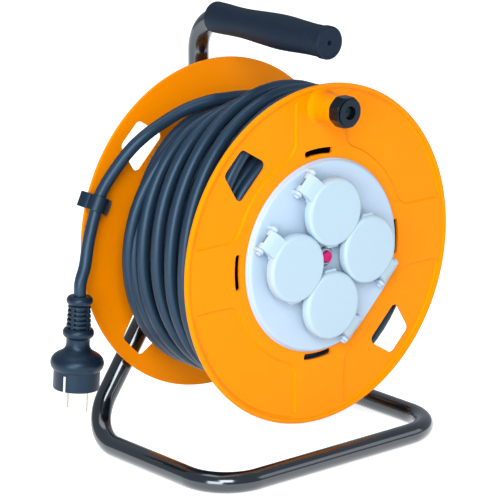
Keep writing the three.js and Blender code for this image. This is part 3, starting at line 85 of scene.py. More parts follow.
def moulded(name, code, shade, rough, grain_mm=0.6, bump=0.05, metallic=0.0, coat=0.0, streak=0.25, tint="FFFFFF", gloss=0.5):
    """A surface with a broad drift of colour, a fine grain and uneven roughness. tint colours its gloss."""
    material, tree = blank(name)
    place = node(tree, "ShaderNodeTexCoord").outputs["Object"]
    broad = node(tree, "ShaderNodeTexNoise", {"Vector": place, "Scale": 9.0, "Detail": 3.0})
    fine = node(tree, "ShaderNodeTexNoise", {"Vector": place, "Scale": 1000 / grain_mm, "Detail": 2.0})
    spread = node(tree, "ShaderNodeMapRange", {
        "Value": broad.outputs["Fac"], "From Min": 0.3, "From Max": 0.7, "To Min": 0.0, "To Max": streak})
    colour = node(tree, "ShaderNodeMix", {
        "Factor": spread.outputs["Result"], "A": linear(code), "B": linear(shade)}, data_type="RGBA")
    dull = node(tree, "ShaderNodeMapRange", {
        "Value": fine.outputs["Fac"], "To Min": rough - 0.05, "To Max": rough + 0.07})
    grain = node(tree, "ShaderNodeBump", {
        "Height": fine.outputs["Fac"], "Strength": bump, "Distance": 0.0004})
    shader = node(tree, "ShaderNodeBsdfPrincipled", {
        "Base Color": colour.outputs["Result"], "Roughness": dull.outputs["Result"],
        "Metallic": metallic, "Normal": grain.outputs["Normal"], "Coat Weight": coat, "Coat Roughness": 0.15,
        "Specular Tint": linear(tint), "Specular IOR Level": gloss})
    node(tree, "ShaderNodeOutputMaterial", {"Surface": shader.outputs["BSDF"]})
    return material


# Injection-moulded polypropylene: a deep even colour under a broad soft gloss that takes the colour's own tint.
ORANGE = moulded("orange polypropylene", "FF9000", "FF8700", 0.38, 0.9, 0.03, tint="FF9A20", gloss=0.4)
# Moulded ABS: pale and clean, with a satin sheen and hardly any grain.
PANEL = moulded("pale ABS", "B6CCE0", "AFC6DC", 0.42, 0.5, 0.04)
# The same ABS from a matt mould: a little greyer and flatter than the panel.
LID = moulded("matt pale ABS", "B2CBD9", "ABC5D5", 0.48, 0.5, 0.05)
# Stove lacquer on steel tube: near black, with sharp long streaks of light.
TUBE = moulded("black lacquered steel", "080D12", "0D141B", 0.13, 2.0, 0.02, coat=1.0, tint="D8ECF8", gloss=0.8)
# Moulded rubber: a dull surface with a fine tooth that spreads the light.
GRIP = moulded("soft grip rubber", "111A26", "162130", 0.62, 0.7, 0.18, tint="8FB4D8")
# Extruded rubber sheath: blue-black, with a long soft highlight and a slightly wavy skin.
CABLE = moulded("rubber cable sheath", "1B2D3E", "22374B", 0.39, 0.8, 0.1, tint="A8CCEC", gloss=0.75)
# Moulded polyamide: black with a low satin gloss.
BLACK = moulded("black polyamide", "0A1219", "101923", 0.28, 0.6, 0.05, tint="A8CDE8", gloss=0.35)
# Moulded soft PVC: a blue-black that is lighter and duller than the polyamide.
VINYL = moulded("soft black PVC", "0F1D2C", "132434", 0.38, 0.6, 0.05, tint="A8CDE8", gloss=0.62)
# Polyamide with a mould-etched face: dark grey and dull.
DARK_RING = moulded("dark polyamide", "161C22", "1C232B", 0.4, 0.6, 0.05)
# Polished polycarbonate: a strong colour under a small bright highlight.
RED = moulded("magenta polycarbonate", "D00F66", "C00C5A", 0.3, 0.6, 0.03, tint="FF9AC8")
# Zinc-plated steel: light grey metal with a blurred reflection.
ZINC = moulded("zinc-plated steel", "B9BDC2", "A9AEB5", 0.32, 0.5, 0.1, metallic=1.0)
# Drawn spring wire: a brighter, smoother metal.
SPRING = moulded("drawn spring steel", "B4B8BE", "A4A9B0", 0.28, 0.4, 0.06, metallic=1.0)
# Stamped brass: warm yellow metal with a blurred reflection.
BRASS = moulded("stamped brass", "C9A55A", "B9944A", 0.3, 0.5, 0.06, metallic=1.0)
# Nickel-plated brass: warm white metal with a fairly sharp reflection.
NICKEL = moulded("nickel-plated brass", "D8D5CC", "C7C3B8", 0.22, 0.5, 0.05, metallic=1.0)
# Machined acetal: milky white, with a soft gloss.
ACETAL = moulded("machined acetal", "E9E9E4", "DFDFD9", 0.4, 0.6, 0.05)

# ---------- Mesh helpers ----------


def lathe(profile, segments=96, centre=(0, 0, 0)):
    """A profile of (radius, y) turned round Y, closed on itself or on the axis."""
    shape = bmesh.new()
    ring = [shape.verts.new((r, y, 0)) for r, y in profile]
    edges = [shape.edges.new(pair) for pair in zip(ring, ring[1:])]
    if profile[0][0] > 0 or profile[-1][0] > 0:
        edges.append(shape.edges.new((ring[-1], ring[0])))
    bmesh.ops.spin(shape, geom=ring + edges, cent=(0, 0, 0), axis=(0, 1, 0), angle=2 * math.pi,
                   steps=segments, use_merge=True)
    bmesh.ops.remove_doubles(shape, verts=shape.verts, dist=1e-4)
    bmesh.ops.dissolve_degenerate(shape, edges=shape.edges, dist=1e-5)
    bmesh.ops.recalc_face_normals(shape, faces=shape.faces)
    bmesh.ops.translate(shape, verts=shape.verts, vec=centre)
    return shape


def disc(radius, low, high, segments=48, centre=(0, 0, 0), inner=0):
    profile = [(inner, low), (radius, low), (radius, high), (inner, high)]
    return lathe(profile, segments, centre)


def prism(outline, low, high, bevel=0.0, top=None):
    """An outline of (x, z) points as a plate between two Y planes. top is the outline at the second plane."""
    shape = bmesh.new()
    base = shape.faces.new([shape.verts.new((x, low, z)) for x, z in outline])
    grown = bmesh.ops.extrude_face_region(shape, geom=[base])
    for v in (v for v in grown["geom"] if isinstance(v, bmesh.types.BMVert)):
        near = min(range(len(outline)), key=lambda k: math.hypot(v.co.x - outline[k][0], v.co.z - outline[k][1]))
        x, z = (top or outline)[near]
        v.co = (x, high, z)
    bmesh.ops.recalc_face_normals(shape, faces=shape.faces)
    if bevel:
        rims = [e for e in shape.edges if abs(e.verts[0].co.y - e.verts[1].co.y) < 1e-6]
        bmesh.ops.bevel(shape, geom=rims, offset=bevel, offset_type="OFFSET", segments=2, profile=0.5,
                        affect="EDGES", material=-1)
    return shape


def block(low, high, bevel=0.0):
    shape = bmesh.new()
    bmesh.ops.create_cube(shape, size=1)
    size = Vector(high) - Vector(low)
    bmesh.ops.scale(shape, vec=size, verts=shape.verts)
    bmesh.ops.translate(shape, vec=(Vector(low) + Vector(high)) / 2, verts=shape.verts)
    if bevel:
        bmesh.ops.bevel(shape, geom=list(shape.edges), offset=bevel, segments=2, profile=0.5,
                        affect="EDGES", material=-1)
    return shape


def arc(radius, start, end, steps, centre=(0, 0)):
    angles = [math.radians(start + (end - start) * k / steps) for k in range(steps + 1)]
    return [(centre[0] + radius * math.cos(a), centre[1] + radius * math.sin(a)) for a in angles]


def rounded(corners, radius, steps=6):
    """A polygon with each corner rounded."""
    points = []
    count = len(corners)
    for i, corner in enumerate(corners):
        here = Vector(corner)
        back = (Vector(corners[i - 1]) - here).normalized()
        ahead = (Vector(corners[(i + 1) % count]) - here).normalized()
        half = back.angle(ahead) / 2
        centre = here + (back + ahead).normalized() * radius / math.sin(half)
        first = here + back * radius / math.tan(half) - centre
        last = here + ahead * radius / math.tan(half) - centre
        sweep = first.angle_signed(last)
        for k in range(steps + 1):
            a = -sweep * k / steps
            points.append((centre.x + first.x * math.cos(a) - first.y * math.sin(a),
                           centre.y + first.x * math.sin(a) + first.y * math.cos(a)))
    return points


def turn(shape, degrees):
    """Turns a shape from X towards Z."""
    bmesh.ops.rotate(shape, verts=shape.verts, cent=(0, 0, 0), matrix=Matrix.Rotation(-math.radians(degrees), 3, "Y"))
    return shape


def move(shape, vec):
    bmesh.ops.translate(shape, verts=shape.verts, vec=vec)
    return shape


def temporary(shape):
    mesh = bpy.data.meshes.new("temporary")
    shape.to_mesh(mesh)
    shape.free()
    thing = bpy.data.objects.new("temporary", mesh)
    bpy.context.scene.collection.objects.link(thing)
    return thing


def combine(base, steps):
    """Adds and cuts shapes, given as (operation, bmesh) pairs, and returns a bmesh."""
    target = temporary(base)
    tools = []
    for operation, shape in steps:
        tool = temporary(shape)
        tools.append(tool)
        modifier = target.modifiers.new("step", "BOOLEAN")
        modifier.operation = operation
        modifier.solver = "EXACT"
        modifier.object = tool
    bpy.context.view_layer.update()
    done = target.evaluated_get(bpy.context.evaluated_depsgraph_get())
    result = bmesh.new()
    result.from_mesh(done.to_mesh())
    done.to_mesh_clear()
    for thing in tools + [target]:
        mesh = thing.data
        bpy.data.objects.remove(thing)
        bpy.data.meshes.remove(mesh)
    bmesh.ops.remove_doubles(result, verts=result.verts, dist=1e-3)
    bmesh.ops.dissolve_limit(result, angle_limit=math.radians(0.4), verts=result.verts, edges=result.edges)
    return result


def piece(name, shape, material, body, replaces=(), bevel=0.0, smooth=38, hub=True):
    """Makes a finished object from a bmesh in millimetres."""
    bmesh.ops.scale(shape, vec=(MM, MM, MM), verts=shape.verts)
    if hub:
        bmesh.ops.translate(shape, vec=HUB * MM, verts=shape.verts)
    mesh = bpy.data.meshes.new(name)
    shape.to_mesh(mesh)
    shape.free()
    thing = bpy.data.objects.new(name, mesh)
    bpy.context.scene.collection.objects.link(thing)
    mesh.materials.append(material)
    if bevel:
        modifier = thing.modifiers.new("edges", "BEVEL")
        modifier.width = bevel * MM
        modifier.segments = 2
        modifier.limit_method = "ANGLE"
        modifier.angle_limit = math.radians(50)
        modifier.use_clamp_overlap = True
        bake(thing)
    soften(thing, smooth)
    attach(thing, body)
    if replaces:
        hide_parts(*replaces)
    return thing


def soften(thing, angle):
    """Smooth shading that keeps flat faces flat and edges over the angle sharp."""
    thing.data.shade_smooth()
    thing.data.set_sharp_from_angle(angle=math.radians(angle))
    normals = thing.modifiers.new("normals", "WEIGHTED_NORMAL")
    normals.keep_sharp = True
    normals.weight = 90
    bake(thing)


def bake(thing):
    """Applies the modifiers of an object."""
    bpy.context.view_layer.update()
    graph = bpy.context.evaluated_depsgraph_get()
    mesh = bpy.data.meshes.new_from_object(thing.evaluated_get(graph), depsgraph=graph)
    thing.modifiers.clear()
    thing.data = mesh


def tube(points, radii, sides=12):
    """A closed tube along points, round at every station. radii is a number or one for each point."""
    shape = bmesh.new()
    points = [Vector(p) for p in points]
    if not isinstance(radii, (list, tuple)):
        radii = [radii] * len(points)
    side = Vector((0, 0, 1))
    rings = []
    for i, point in enumerate(points):
        along = (points[min(i + 1, len(points) - 1)] - points[max(i - 1, 0)]).normalized()
        side = (side - along * side.dot(along))
        if side.length < 1e-3:
            side = along.orthogonal()
        side.normalize()
        other = along.cross(side)
        ring = []
        for k in range(sides):
            a = 2 * math.pi * k / sides
            ring.append(shape.verts.new(point + (side * math.cos(a) + other * math.sin(a)) * radii[i]))
        rings.append(ring)
    for one, two in zip(rings, rings[1:]):
        for k in range(sides):
            n = (k + 1) % sides
            shape.faces.new((one[k], one[n], two[n], two[k]))
    shape.faces.new(rings[0][::-1])
    shape.faces.new(rings[-1])
    bmesh.ops.recalc_face_normals(shape, faces=shape.faces)
    return shape


def curve_through(points, step):
    """Points every step along a centripetal Catmull-Rom curve."""
    points = [Vector(p) for p in points]
    padded = [points[0] * 2 - points[1]] + points + [points[-1] * 2 - points[-2]]
    dense = []
    for i in range(1, len(padded) - 2):
        p0, p1, p2, p3 = padded[i - 1:i + 3]
        t1 = max((p1 - p0).length, 1e-6) ** 0.5
        t2 = t1 + max((p2 - p1).length, 1e-6) ** 0.5
        t3 = t2 + max((p3 - p2).length, 1e-6) ** 0.5
        for k in range(24):
            t = t1 + (t2 - t1) * k / 24
            a1 = p0.lerp(p1, t / t1)
            a2 = p1.lerp(p2, (t - t1) / (t2 - t1))
            a3 = p2.lerp(p3, (t - t2) / (t3 - t2))
            b1 = a1.lerp(a2, t / t2)
            b2 = a2.lerp(a3, (t - t1) / (t3 - t1))
            dense.append(b1.lerp(b2, (t - t1) / (t2 - t1)))
    dense.append(points[-1])
    return even(dense, step)


def even(dense, step):
    """The same line with points at even steps."""
    total = sum((b - a).length for a, b in zip(dense, dense[1:]))
    count = max(2, round(total / step))
    gap = total / count
    line = [dense[0]]
    left = gap
    for a, b in zip(dense, dense[1:]):
        run = (b - a).length
        at = 0.0
        while run - at >= left - 1e-9 and run > 0:
            at += left
            line.append(a.lerp(b, min(at / run, 1)))
            left = gap
        left -= run - at
    line = line[:count]
    line.append(dense[-1])
    return line


def length_of(points):
    return sum((Vector(b) - Vector(a)).length for a, b in zip(points, points[1:]))


# ---------- Camera, floor and light ----------

camera = bpy.data.objects.new("camera", bpy.data.cameras.new("camera"))
bpy.context.scene.collection.objects.link(camera)
camera.data.sensor_width = 36
camera.data.lens = 214.35
camera.data.clip_end = 50
forward = Vector((0.62422605, 0.73319489, -0.26975375))
camera.matrix_world = Matrix.Translation(world((-1590.72, -1848.59, 672.27))) @ forward.to_track_quat("-Z", "Y").to_matrix().to_4x4()
bpy.context.scene.camera = camera


def stage_material(name, code, strength):
    """Seen by the camera or in a reflection it is white, and elsewhere it is a plain surface."""
    material, tree = blank(name)
    path = node(tree, "ShaderNodeLightPath")
    seen = node(tree, "ShaderNodeMath", {0: path.outputs["Is Camera Ray"], 1: path.outputs["Is Glossy Ray"]},
                operation="ADD", use_clamp=True)
    seen = node(tree, "ShaderNodeMath", {0: seen.outputs[0], 1: path.outputs["Is Transmission Ray"]},
                operation="ADD", use_clamp=True)
    glow = node(tree, "ShaderNodeMath", {0: seen.outputs[0], 1: strength}, operation="MULTIPLY")
    shader = node(tree, "ShaderNodeBsdfPrincipled", {
        "Base Color": linear(code), "Roughness": 0.9, "Specular IOR Level": 0.0,
        "Emission Color": (1, 1, 1, 1), "Emission Strength": glow.outputs[0]})
    node(tree, "ShaderNodeOutputMaterial", {"Surface": shader.outputs["BSDF"]})
    return material


floor_mesh = bmesh.new()
bmesh.ops.create_grid(floor_mesh, x_segments=2, y_segments=2, size=6.0)
floor_data = bpy.data.meshes.new("floor")
floor_mesh.to_mesh(floor_data)
floor_mesh.free()
floor = bpy.data.objects.new("floor", floor_data)
floor_data.materials.append(stage_material("floor paint", "F7F7F7", 0.75))
bpy.context.scene.collection.objects.link(floor)

sky = bpy.data.worlds.new("studio")
bpy.context.scene.world = sky
sky.use_nodes = True
sky.node_tree.nodes.clear()
path = node(sky.node_tree, "ShaderNodeLightPath")
seen = node(sky.node_tree, "ShaderNodeMath", {0: path.outputs["Is Camera Ray"], 1: path.outputs["Is Transmission Ray"]},
            operation="ADD", use_clamp=True)
level = node(sky.node_tree, "ShaderNodeMapRange", {"Value": seen.outputs[0], "To Min": 0.41, "To Max": 1.0})
hue = node(sky.node_tree, "ShaderNodeMix", {"Factor": seen.outputs[0], "A": linear("E8F2FF"), "B": (1, 1, 1, 1)},
           data_type="RGBA")
back = node(sky.node_tree, "ShaderNodeBackground", {"Color": hue.outputs["Result"], "Strength": level.outputs["Result"]})
node(sky.node_tree, "ShaderNodeOutputWorld", {"Surface": back.outputs["Background"]})


def lamp(name, place, aim, size, watts):
    data = bpy.data.lights.new(name, "AREA")
    data.shape = "RECTANGLE"
    data.size, data.size_y = size
    data.energy = watts
    thing = bpy.data.objects.new(name, data)
    bpy.context.scene.collection.objects.link(thing)
    thing.location = place
    thing.rotation_euler = (Vector(aim) - Vector(place)).to_track_quat("-Z", "Y").to_euler()
    return thing


lamp("key", (-1.6, -1.9, 1.7), (0, 0, 0.2), (1.2, 1.2), 47)
lamp("side", (-2.4, -1.3, 0.7), (0, 0, 0.2), (1.4, 1.2), 41)
lamp("fill", (1.7, -1.7, 1.0), (0, 0, 0.2), (1.4, 1.0), 6)
lamp("top", (0.0, 0.3, 2.2), (0, 0, 0.2), (1.6, 1.0), 10)

# ---------- Cable on the drum ----------

CABLE_R = 5.25
PILE_TOP, PILE_AT, PILE_SPREAD, PILE_FRONT, PILE_REAR = 24, 78, 105, 3, 15


def smooth(x, low, high):
    t = min(max((x - low) / (high - low), 0), 1)
    return t * t * (3 - 2 * t)


def bump(angle, middle, half):
    """A smooth bump of height 1 round the drum."""
    away = abs((angle - middle + 180) % 360 - 180)
    return math.cos(min(away / half, 1) * math.pi / 2) ** 2


def layer_radius(angle, y):
    pile = PILE_TOP * bump(angle, PILE_AT, PILE_SPREAD)
    front = 1 - smooth(y, PILE_FRONT, PILE_REAR)
    sag = 1.5 * bump(angle, 222, 62) * (1 - front) + 12 * bump(angle, 232, 75) * (1 - smooth(y, -70, 15))
    return 113.25 - 5 * math.sin(math.radians(angle)) + pile * front + sag


def under_lead(angle, y):
    """How far the loose rear turns bulge near the top."""
    return 6.5 * bump(angle, 125, 55) * smooth(y, PILE_FRONT, PILE_REAR)


def polar(radius, angle, y):
    a = math.radians(angle)
    return Vector((radius * math.cos(a), y, radius * math.sin(a)))


START = 250
LOOSE_END = 2355
WOUND = 7 * 360
LIFT = 2 * CABLE_R + 1.2
LEAD = [(195, -61.6, 0), (250, -55, LIFT), (345, 19, LIFT), (395, 20.8, 8.6), (425, 20.6, 8.2), (443, 22.2, 9.6),
        (456, 25.6, 12.2)]


def layer_y(angle):
    """A loose pitch from the rear forwards, and one last turn tight against the front flange."""
    loose = 24 + 11 * max(900 - angle, 0) / 360 - 18.5 * max(min(angle, LOOSE_END) - 900, 0) / 360
    return loose - 10.8 * max(angle - LOOSE_END, 0) / 360


def through(keys, x, column):
    """A smooth curve through keys of (place, value, value), read at x."""
    slopes = [0.0] + [(keys[i + 1][column] - keys[i - 1][column]) / (keys[i + 1][0] - keys[i - 1][0])
                      for i in range(1, len(keys) - 1)]
    slopes.append((keys[-1][column] - keys[-2][column]) / (keys[-1][0] - keys[-2][0]))
    i = max(k for k in range(len(keys) - 1) if keys[k][0] <= x)
    run = keys[i + 1][0] - keys[i][0]
    t = (x - keys[i][0]) / run
    return ((2 * t ** 3 - 3 * t ** 2 + 1) * keys[i][column] + (t ** 3 - 2 * t ** 2 + t) * run * slopes[i]
            + (3 * t ** 2 - 2 * t ** 3) * keys[i + 1][column] + (t ** 3 - t ** 2) * run * slopes[i + 1])


def wound_point(angle):
    if angle <= WOUND + LEAD[0][0]:
        y = layer_y(angle)
        return polar(layer_radius(angle, y) + under_lead(angle, y), angle, y)
    y, lift = (through(LEAD, angle - WOUND, column) for column in (1, 2))
    return polar(layer_radius(angle, y) + lift, angle, y)


def inner_layers():
    """Two tight layers under the visible one, from the barrel out."""
    line = []
    turns, back, pitch, front = 11.4, 10.6, 10.5, -61.4
    for k in range(int(turns * 48)):
        angle = 120 + k * 7.5
        line.append(polar(90.55, angle, front + pitch * k / 48))
    for k in range(int(back * 48) + 2):
        angle = 120 + turns * 360 + k * 7.5
        ease = smooth(k, 0, 30)
        y = front + pitch * turns - pitch * (turns - back) * ease - pitch * k / 48
        radius = 99.6 + (2.6 - 1.8 * smooth(y, 10, 40)) * (1 - math.sin(math.radians(angle)))
        line.append(polar(90.55 + (radius - 90.55) * ease, angle, y))
    return line


def cable_line():
    inner = inner_layers()
    last = inner[-1]
    outer = [wound_point(START + k * 5) for k in range(int((WOUND + 456 - START) / 5) + 1)]
    outer[-1] = wound_point(WOUND + 456)
    before = wound_point(WOUND + 455.5)
    direction = (outer[-1] - before).normalized()
    outer.append(outer[-1] + direction * 10.5)
    # The second layer ends in front and the outer one starts at the rear: a slanting turn joins them.
    first = outer[0]
    low, high = math.hypot(last.x, last.z), math.hypot(first.x, first.z)
    count = 90
    link = []
    for k in range(1, count):
        share = smooth(k, 0, count)
        link.append(polar(low + (high - low) * share, 120 + (START + 360 - 120) * k / count,
                          last.y + (first.y - last.y) * share))
    return inner + link + outer, direction


LINE, END_DIRECTION = cable_line()
winding = piece("cable_wound", tube(LINE, CABLE_R, 14), CABLE, "drum",
                replaces=("cable_winding", "winding_core"), smooth=60)

# ---------- Free end of the cable and its plug ----------

PLUG_TOP = Vector((-161, 48.7, -31.3))
PLUG_TILT = 4
tilt = Matrix.Rotation(math.radians(PLUG_TILT), 3, "Y")
plug_down = tilt @ Vector((0, 0, -1))
TAIL_ROUTE = [
    (-50, 34, 116), (-62, 38, 111.5), (-76.7, 41, 104.8), (-91.3, 43, 97.6), (-106.2, 47, 86),
    (-118, 52.4, 70.5), (-127.4, 56.2, 56), (-132.4, 57, 47.6), (-134.9, 57, 41.2), (-137.2, 56.8, 34.8),
    (-141.5, 55.9, 25), (-148.2, 53.2, 10), (-154, 50.6, -8),
]
tail_start = LINE[-1] + END_DIRECTION * 0.3
tail_end = PLUG_TOP - plug_down * 0.3
route = [tail_start, tail_start + END_DIRECTION * 10.5] + TAIL_ROUTE + [tail_end - plug_down * 10.5, tail_end]
tail_line = curve_through(route, 3.0)
tail = piece("cable_free", tube(tail_line, CABLE_R, 24), CABLE, "stand",
             replaces=("cable_tail",), smooth=60)


def plug_shape():
    """A plug hanging down from its top at the origin, with its earth contacts at +Y and -Y."""
    profile = [(0, 0), (7.6, 0)] + [(7.4 + 3.7 * math.cos(a), -4 + 4 * math.sin(a))
                                    for a in (math.pi / 2 - math.pi * k / 12 for k in range(1, 12))]
    profile += [(8.6, -8.2)]
    for k in range(5):
        top = -8.6 - k * 3.9
        wide = 9.5 + 0.2 * k
        profile += [(wide, top), (wide + 0.1, top - 1.7), (7.4, top - 1.9), (7.4, top - 3.7)]
    profile += [(10.4, -28.1)] + [(10.2 + 3 * math.cos(a), -31.6 + 4 * math.sin(a))
                                  for a in (math.pi / 2.6 - math.pi * k / 13 for k in range(0, 11))]
    profile += [(10.2, -36.4), (9.9, -37.4), (9.9, -41), (10.3, -43.6), (11.6, -46), (14.2, -48), (17.4, -49.6),
                (20, -51.6), (21.7, -53.9), (22.5, -56.4), (22.5, -58.6), (21.9, -60.8), (20.6, -62.6),
                (19.7, -63.4), (19.6, -64.4), (19.6, -78.6), (19.2, -79.5), (18.2, -79.8), (0, -79.8)]
    body = lathe(profile, 72)
    bmesh.ops.rotate(body, verts=body.verts, cent=(0, 0, 0), matrix=Matrix.Rotation(math.pi / 2, 3, "X"))
    steps = []
    for turn_by in (0, 90, 180, 270):
        web = block((-1.5, 6, -28.4), (1.5, 9.9, -8), 0.3)
        bmesh.ops.rotate(web, verts=web.verts, cent=(0, 0, 0), matrix=Matrix.Rotation(math.radians(turn_by), 3, "Z"))
        steps.append(("UNION", web))
    for side in (1, -1):
        low, high = sorted((17.8 * side, 24 * side))
        steps.append(("DIFFERENCE", block((-1.7, low, -81), (1.7, high, -65.5))))
    return combine(body, steps)


def on_plug(shape):
    spin = Matrix.Rotation(math.radians(-70), 3, "Z")
    bmesh.ops.rotate(shape, verts=shape.verts, cent=(0, 0, 0), matrix=tilt @ spin)
    return move(shape, PLUG_TOP)


plug = piece("plug_moulding", on_plug(plug_shape()), VINYL, "stand", replaces=("plug_body",),
             bevel=0.0, smooth=40)
for number, side in ((1, -1), (2, 1)):
    pin = lathe([(0, -72.5), (2.4, -72.5), (2.4, -97.3), (2.1, -98.2), (1.4, -98.7), (0, -98.8)], 32)
    bmesh.ops.rotate(pin, verts=pin.verts, cent=(0, 0, 0), matrix=Matrix.Rotation(math.pi / 2, 3, "X"))
    piece(f"plug_contact_{number}", on_plug(move(pin, (side * 9.5, 0, 0))), NICKEL, "stand",
                      replaces=(f"plug_pin_{number}",))
    low, high = sorted((17.6 * side, 18.6 * side))
    strip = block((-1.4, low, -79.6), (1.4, high, -66), 0.2)
    piece(f"plug_strip_{number}", on_plug(strip), NICKEL, "stand",
                      replaces=(f"plug_earth_{number}",))

print("cable lengths in metres", round(length_of(LINE) * MM, 3), round(length_of(tail_line) * MM, 3))

# ---------- Stand ----------


def bent_line(corners, bends, steps=16):
    """Straight runs between rounded corners."""
    corners = [Vector(c) for c in corners]
    line = [corners[0]]
    for i in range(1, len(corners) - 1):
        here = corners[i]
        back = (corners[i - 1] - here).normalized()
        ahead = (corners[i + 1] - here).normalized()
        half = back.angle(ahead) / 2
        radius = bends[min(i - 1, len(bends) - 1)]
        centre = here + (back + ahead).normalized() * radius / math.sin(half)
        arm = here + back * radius / math.tan(half) - centre
        axis = back.cross(ahead).normalized()
        sweep = math.pi - 2 * half
        count = max(3, round(steps * sweep / (math.pi / 2)))
        line += [centre + Matrix.Rotation(-sweep * k / count, 3, axis) @ arm for k in range(count + 1)]
    line.append(corners[-1])
    return line


GRIP_Z = 181
TUBE_R = 9
REAR = 88
LEG_TOP = Vector((0, REAR, 10))
LEG_FOOT = Vector((126, REAR, -172))
LEG_UP = (LEG_TOP - LEG_FOOT).normalized()
stand_line = bent_line([(0, -74, GRIP_Z), (0, REAR, GRIP_Z), LEG_TOP, (-126, REAR, -172), (-126, -90.5, -172),
                        (126, -90.5, -172), LEG_FOOT, LEG_TOP - LEG_UP * 9.5], (32, 40))
piece("stand_tube", tube(stand_line, TUBE_R, 40), TUBE, "stand", replaces=("frame_tube",), smooth=60)


def weld_bead():
    """The seam where the second leg meets the bend of the first, as an uneven ridge of small ripples."""
    side = LEG_UP.cross(Vector((0, 1, 0))).normalized()
    bend = [p for p in stand_line if abs(p.y - REAR) < 1 and -60 < p.z < 80 and p.x < 4]
    fine = even(bend, 1.0)
    ring = []
    for k in range(96):
        a = 2 * math.pi * k / 96
        spoke = (side * math.cos(a) + Vector((0, 1, 0)) * math.sin(a)) * (TUBE_R - 1.3)
        reach = 40
        while reach > -12:
            spot = LEG_TOP - LEG_UP * reach + spoke
            if min((spot - q).length for q in fine) < TUBE_R + 0.2:
                break
            reach -= 0.25
        ring.append(spot)
    sizes = [1.4 + 0.2 * math.sin(k * 2 * math.pi * 16 / 96) for k in range(97)]
    return tube(ring + [ring[0]], sizes, 10)


piece("leg_weld", weld_bead(), TUBE, "stand", smooth=60)

grip_profile = [(0, 66), (11.2, 66), (12.4, 65.6), (13.2, 64.6), (13.4, 63), (13.35, 56), (13.2, 50), (12.9, 43),
                (12.7, 36), (12.65, 29), (12.8, 22), (13.2, 14), (13.8, 4), (14.35, -7), (14.7, -15), (14.8, -22),
                (14.65, -30), (14.3, -37), (13.8, -46), (13.4, -54), (13.2, -60), (13.2, -62.6), (12.95, -62.9),
                (12.95, -63.6), (13.2, -63.9), (13.2, -65.9), (12.95, -66.2), (12.95, -66.9), (13.2, -67.2),
                (13.2, -69.2), (12.95, -69.5), (12.95, -70.2), (13.2, -70.5), (13.25, -72.6), (13.7, -73.4),
                (14, -74.2), (14, -79), (13.8, -80), (13.2, -80.7), (12.4, -81), (11.9, -80.9), (11.5, -80.5),
                (11, -80.35), (2.6, -80.35), (2.1, -80.1), (1.9, -79.2), (1.9, -77), (0, -77)]
piece("grip_sleeve", lathe(grip_profile, 96, (0, 0, GRIP_Z)), GRIP, "stand",
      replaces=("handle_grip",), smooth=32)

plate_outline = rounded([(-15, 38), (-34, -16), (-34, -30), (34, -30), (34, -16), (15, 38)], 6)
axle = lathe([(0, 0), (5.2, 0), (5.8, 0.3), (6, 1), (6, 75.7), (0, 75.7)], 64)
bracket = combine(prism(plate_outline, 74.7, 78.7), [("UNION", axle)])
piece("axle_plate", bracket, TUBE, "stand", replaces=("axle_bracket",), bevel=0.5)

# ---------- Drum flanges ----------

RIM_IN = 140.4
FRONT = -70.8
REAR_FACE = 68.2
SPOKE, SECTOR_IN, CORNER = 27, 94, 12


def quadratic(a, b, c, steps=8):
    return [tuple((Vector(a) * (1 - t) + Vector(b) * t) * (1 - t) + (Vector(b) * (1 - t) + Vector(c) * t) * t)
            for t in (k / steps for k in range(1, steps + 1))]


def sector_outline(grow):
    """A sunk panel between two spokes."""
    inner, outer, side = SECTOR_IN - grow, RIM_IN - 1 + grow, SPOKE - grow
    inner_x, outer_x = math.sqrt(inner ** 2 - side ** 2), math.sqrt(outer ** 2 - side ** 2)
    a_in = math.degrees(math.asin(side / inner) + CORNER / inner)
    a_out = math.degrees(math.asin(side / outer) + CORNER / 2 / outer)
    far, near = arc(outer, a_out, 90 - a_out, 30), arc(inner, 90 - a_in, a_in, 24)
    points = [(inner_x + CORNER, side), (outer_x - CORNER / 2, side)]
    points += quadratic(points[-1], (outer_x, side), far[0]) + far[1:]
    points += quadratic(far[-1], (side, outer_x), (side, outer_x - CORNER / 2)) + [(side, inner_x + CORNER)]
    points += quadratic(points[-1], (side, inner_x), near[0]) + near[1:]
    points += quadratic(near[-1], (inner_x, side), points[0])[:-1]
    return points


def window_outline(grow=0.0):
    half_in, half_out = 21.2 + grow, 13.6 + grow
    return rounded([(102.2 - grow, -half_in), (132.8 + grow, -half_out), (132.8 + grow, half_out),
                    (102.2 - grow, half_in)], 5 + grow, 8)


def slot_outline():
    half = math.degrees(15.2 / 88)
    outer, inner = arc(90.75, 1.2 - half, half - 1.2, 14), arc(85.25, half - 1.2, 1.2 - half, 14)
    far, near = arc(88, half, -half, 1)
    return outer + quadratic(outer[-1], arc(90.75, half, 0, 1)[0], far, 4) + quadratic(
        far, arc(85.25, half, 0, 1)[0], inner[0], 4) + inner[1:] + quadratic(
        inner[-1], arc(85.25, -half, 0, 1)[0], near, 4) + quadratic(near, arc(90.75, -half, 0, 1)[0], outer[0], 4)[:-1]


RIM = [(RIM_IN - 0.5, 0), (RIM_IN, 0.4), (140.7, 0.4), (141, -0.4), (141.5, -1), (142.5, -1.2), (143.3, -1.15), (144.1, -0.85),
       (144.7, -0.3), (145, 0.5), (145, 1.6), (144.8, 2.15), (144.3, 2.4)]


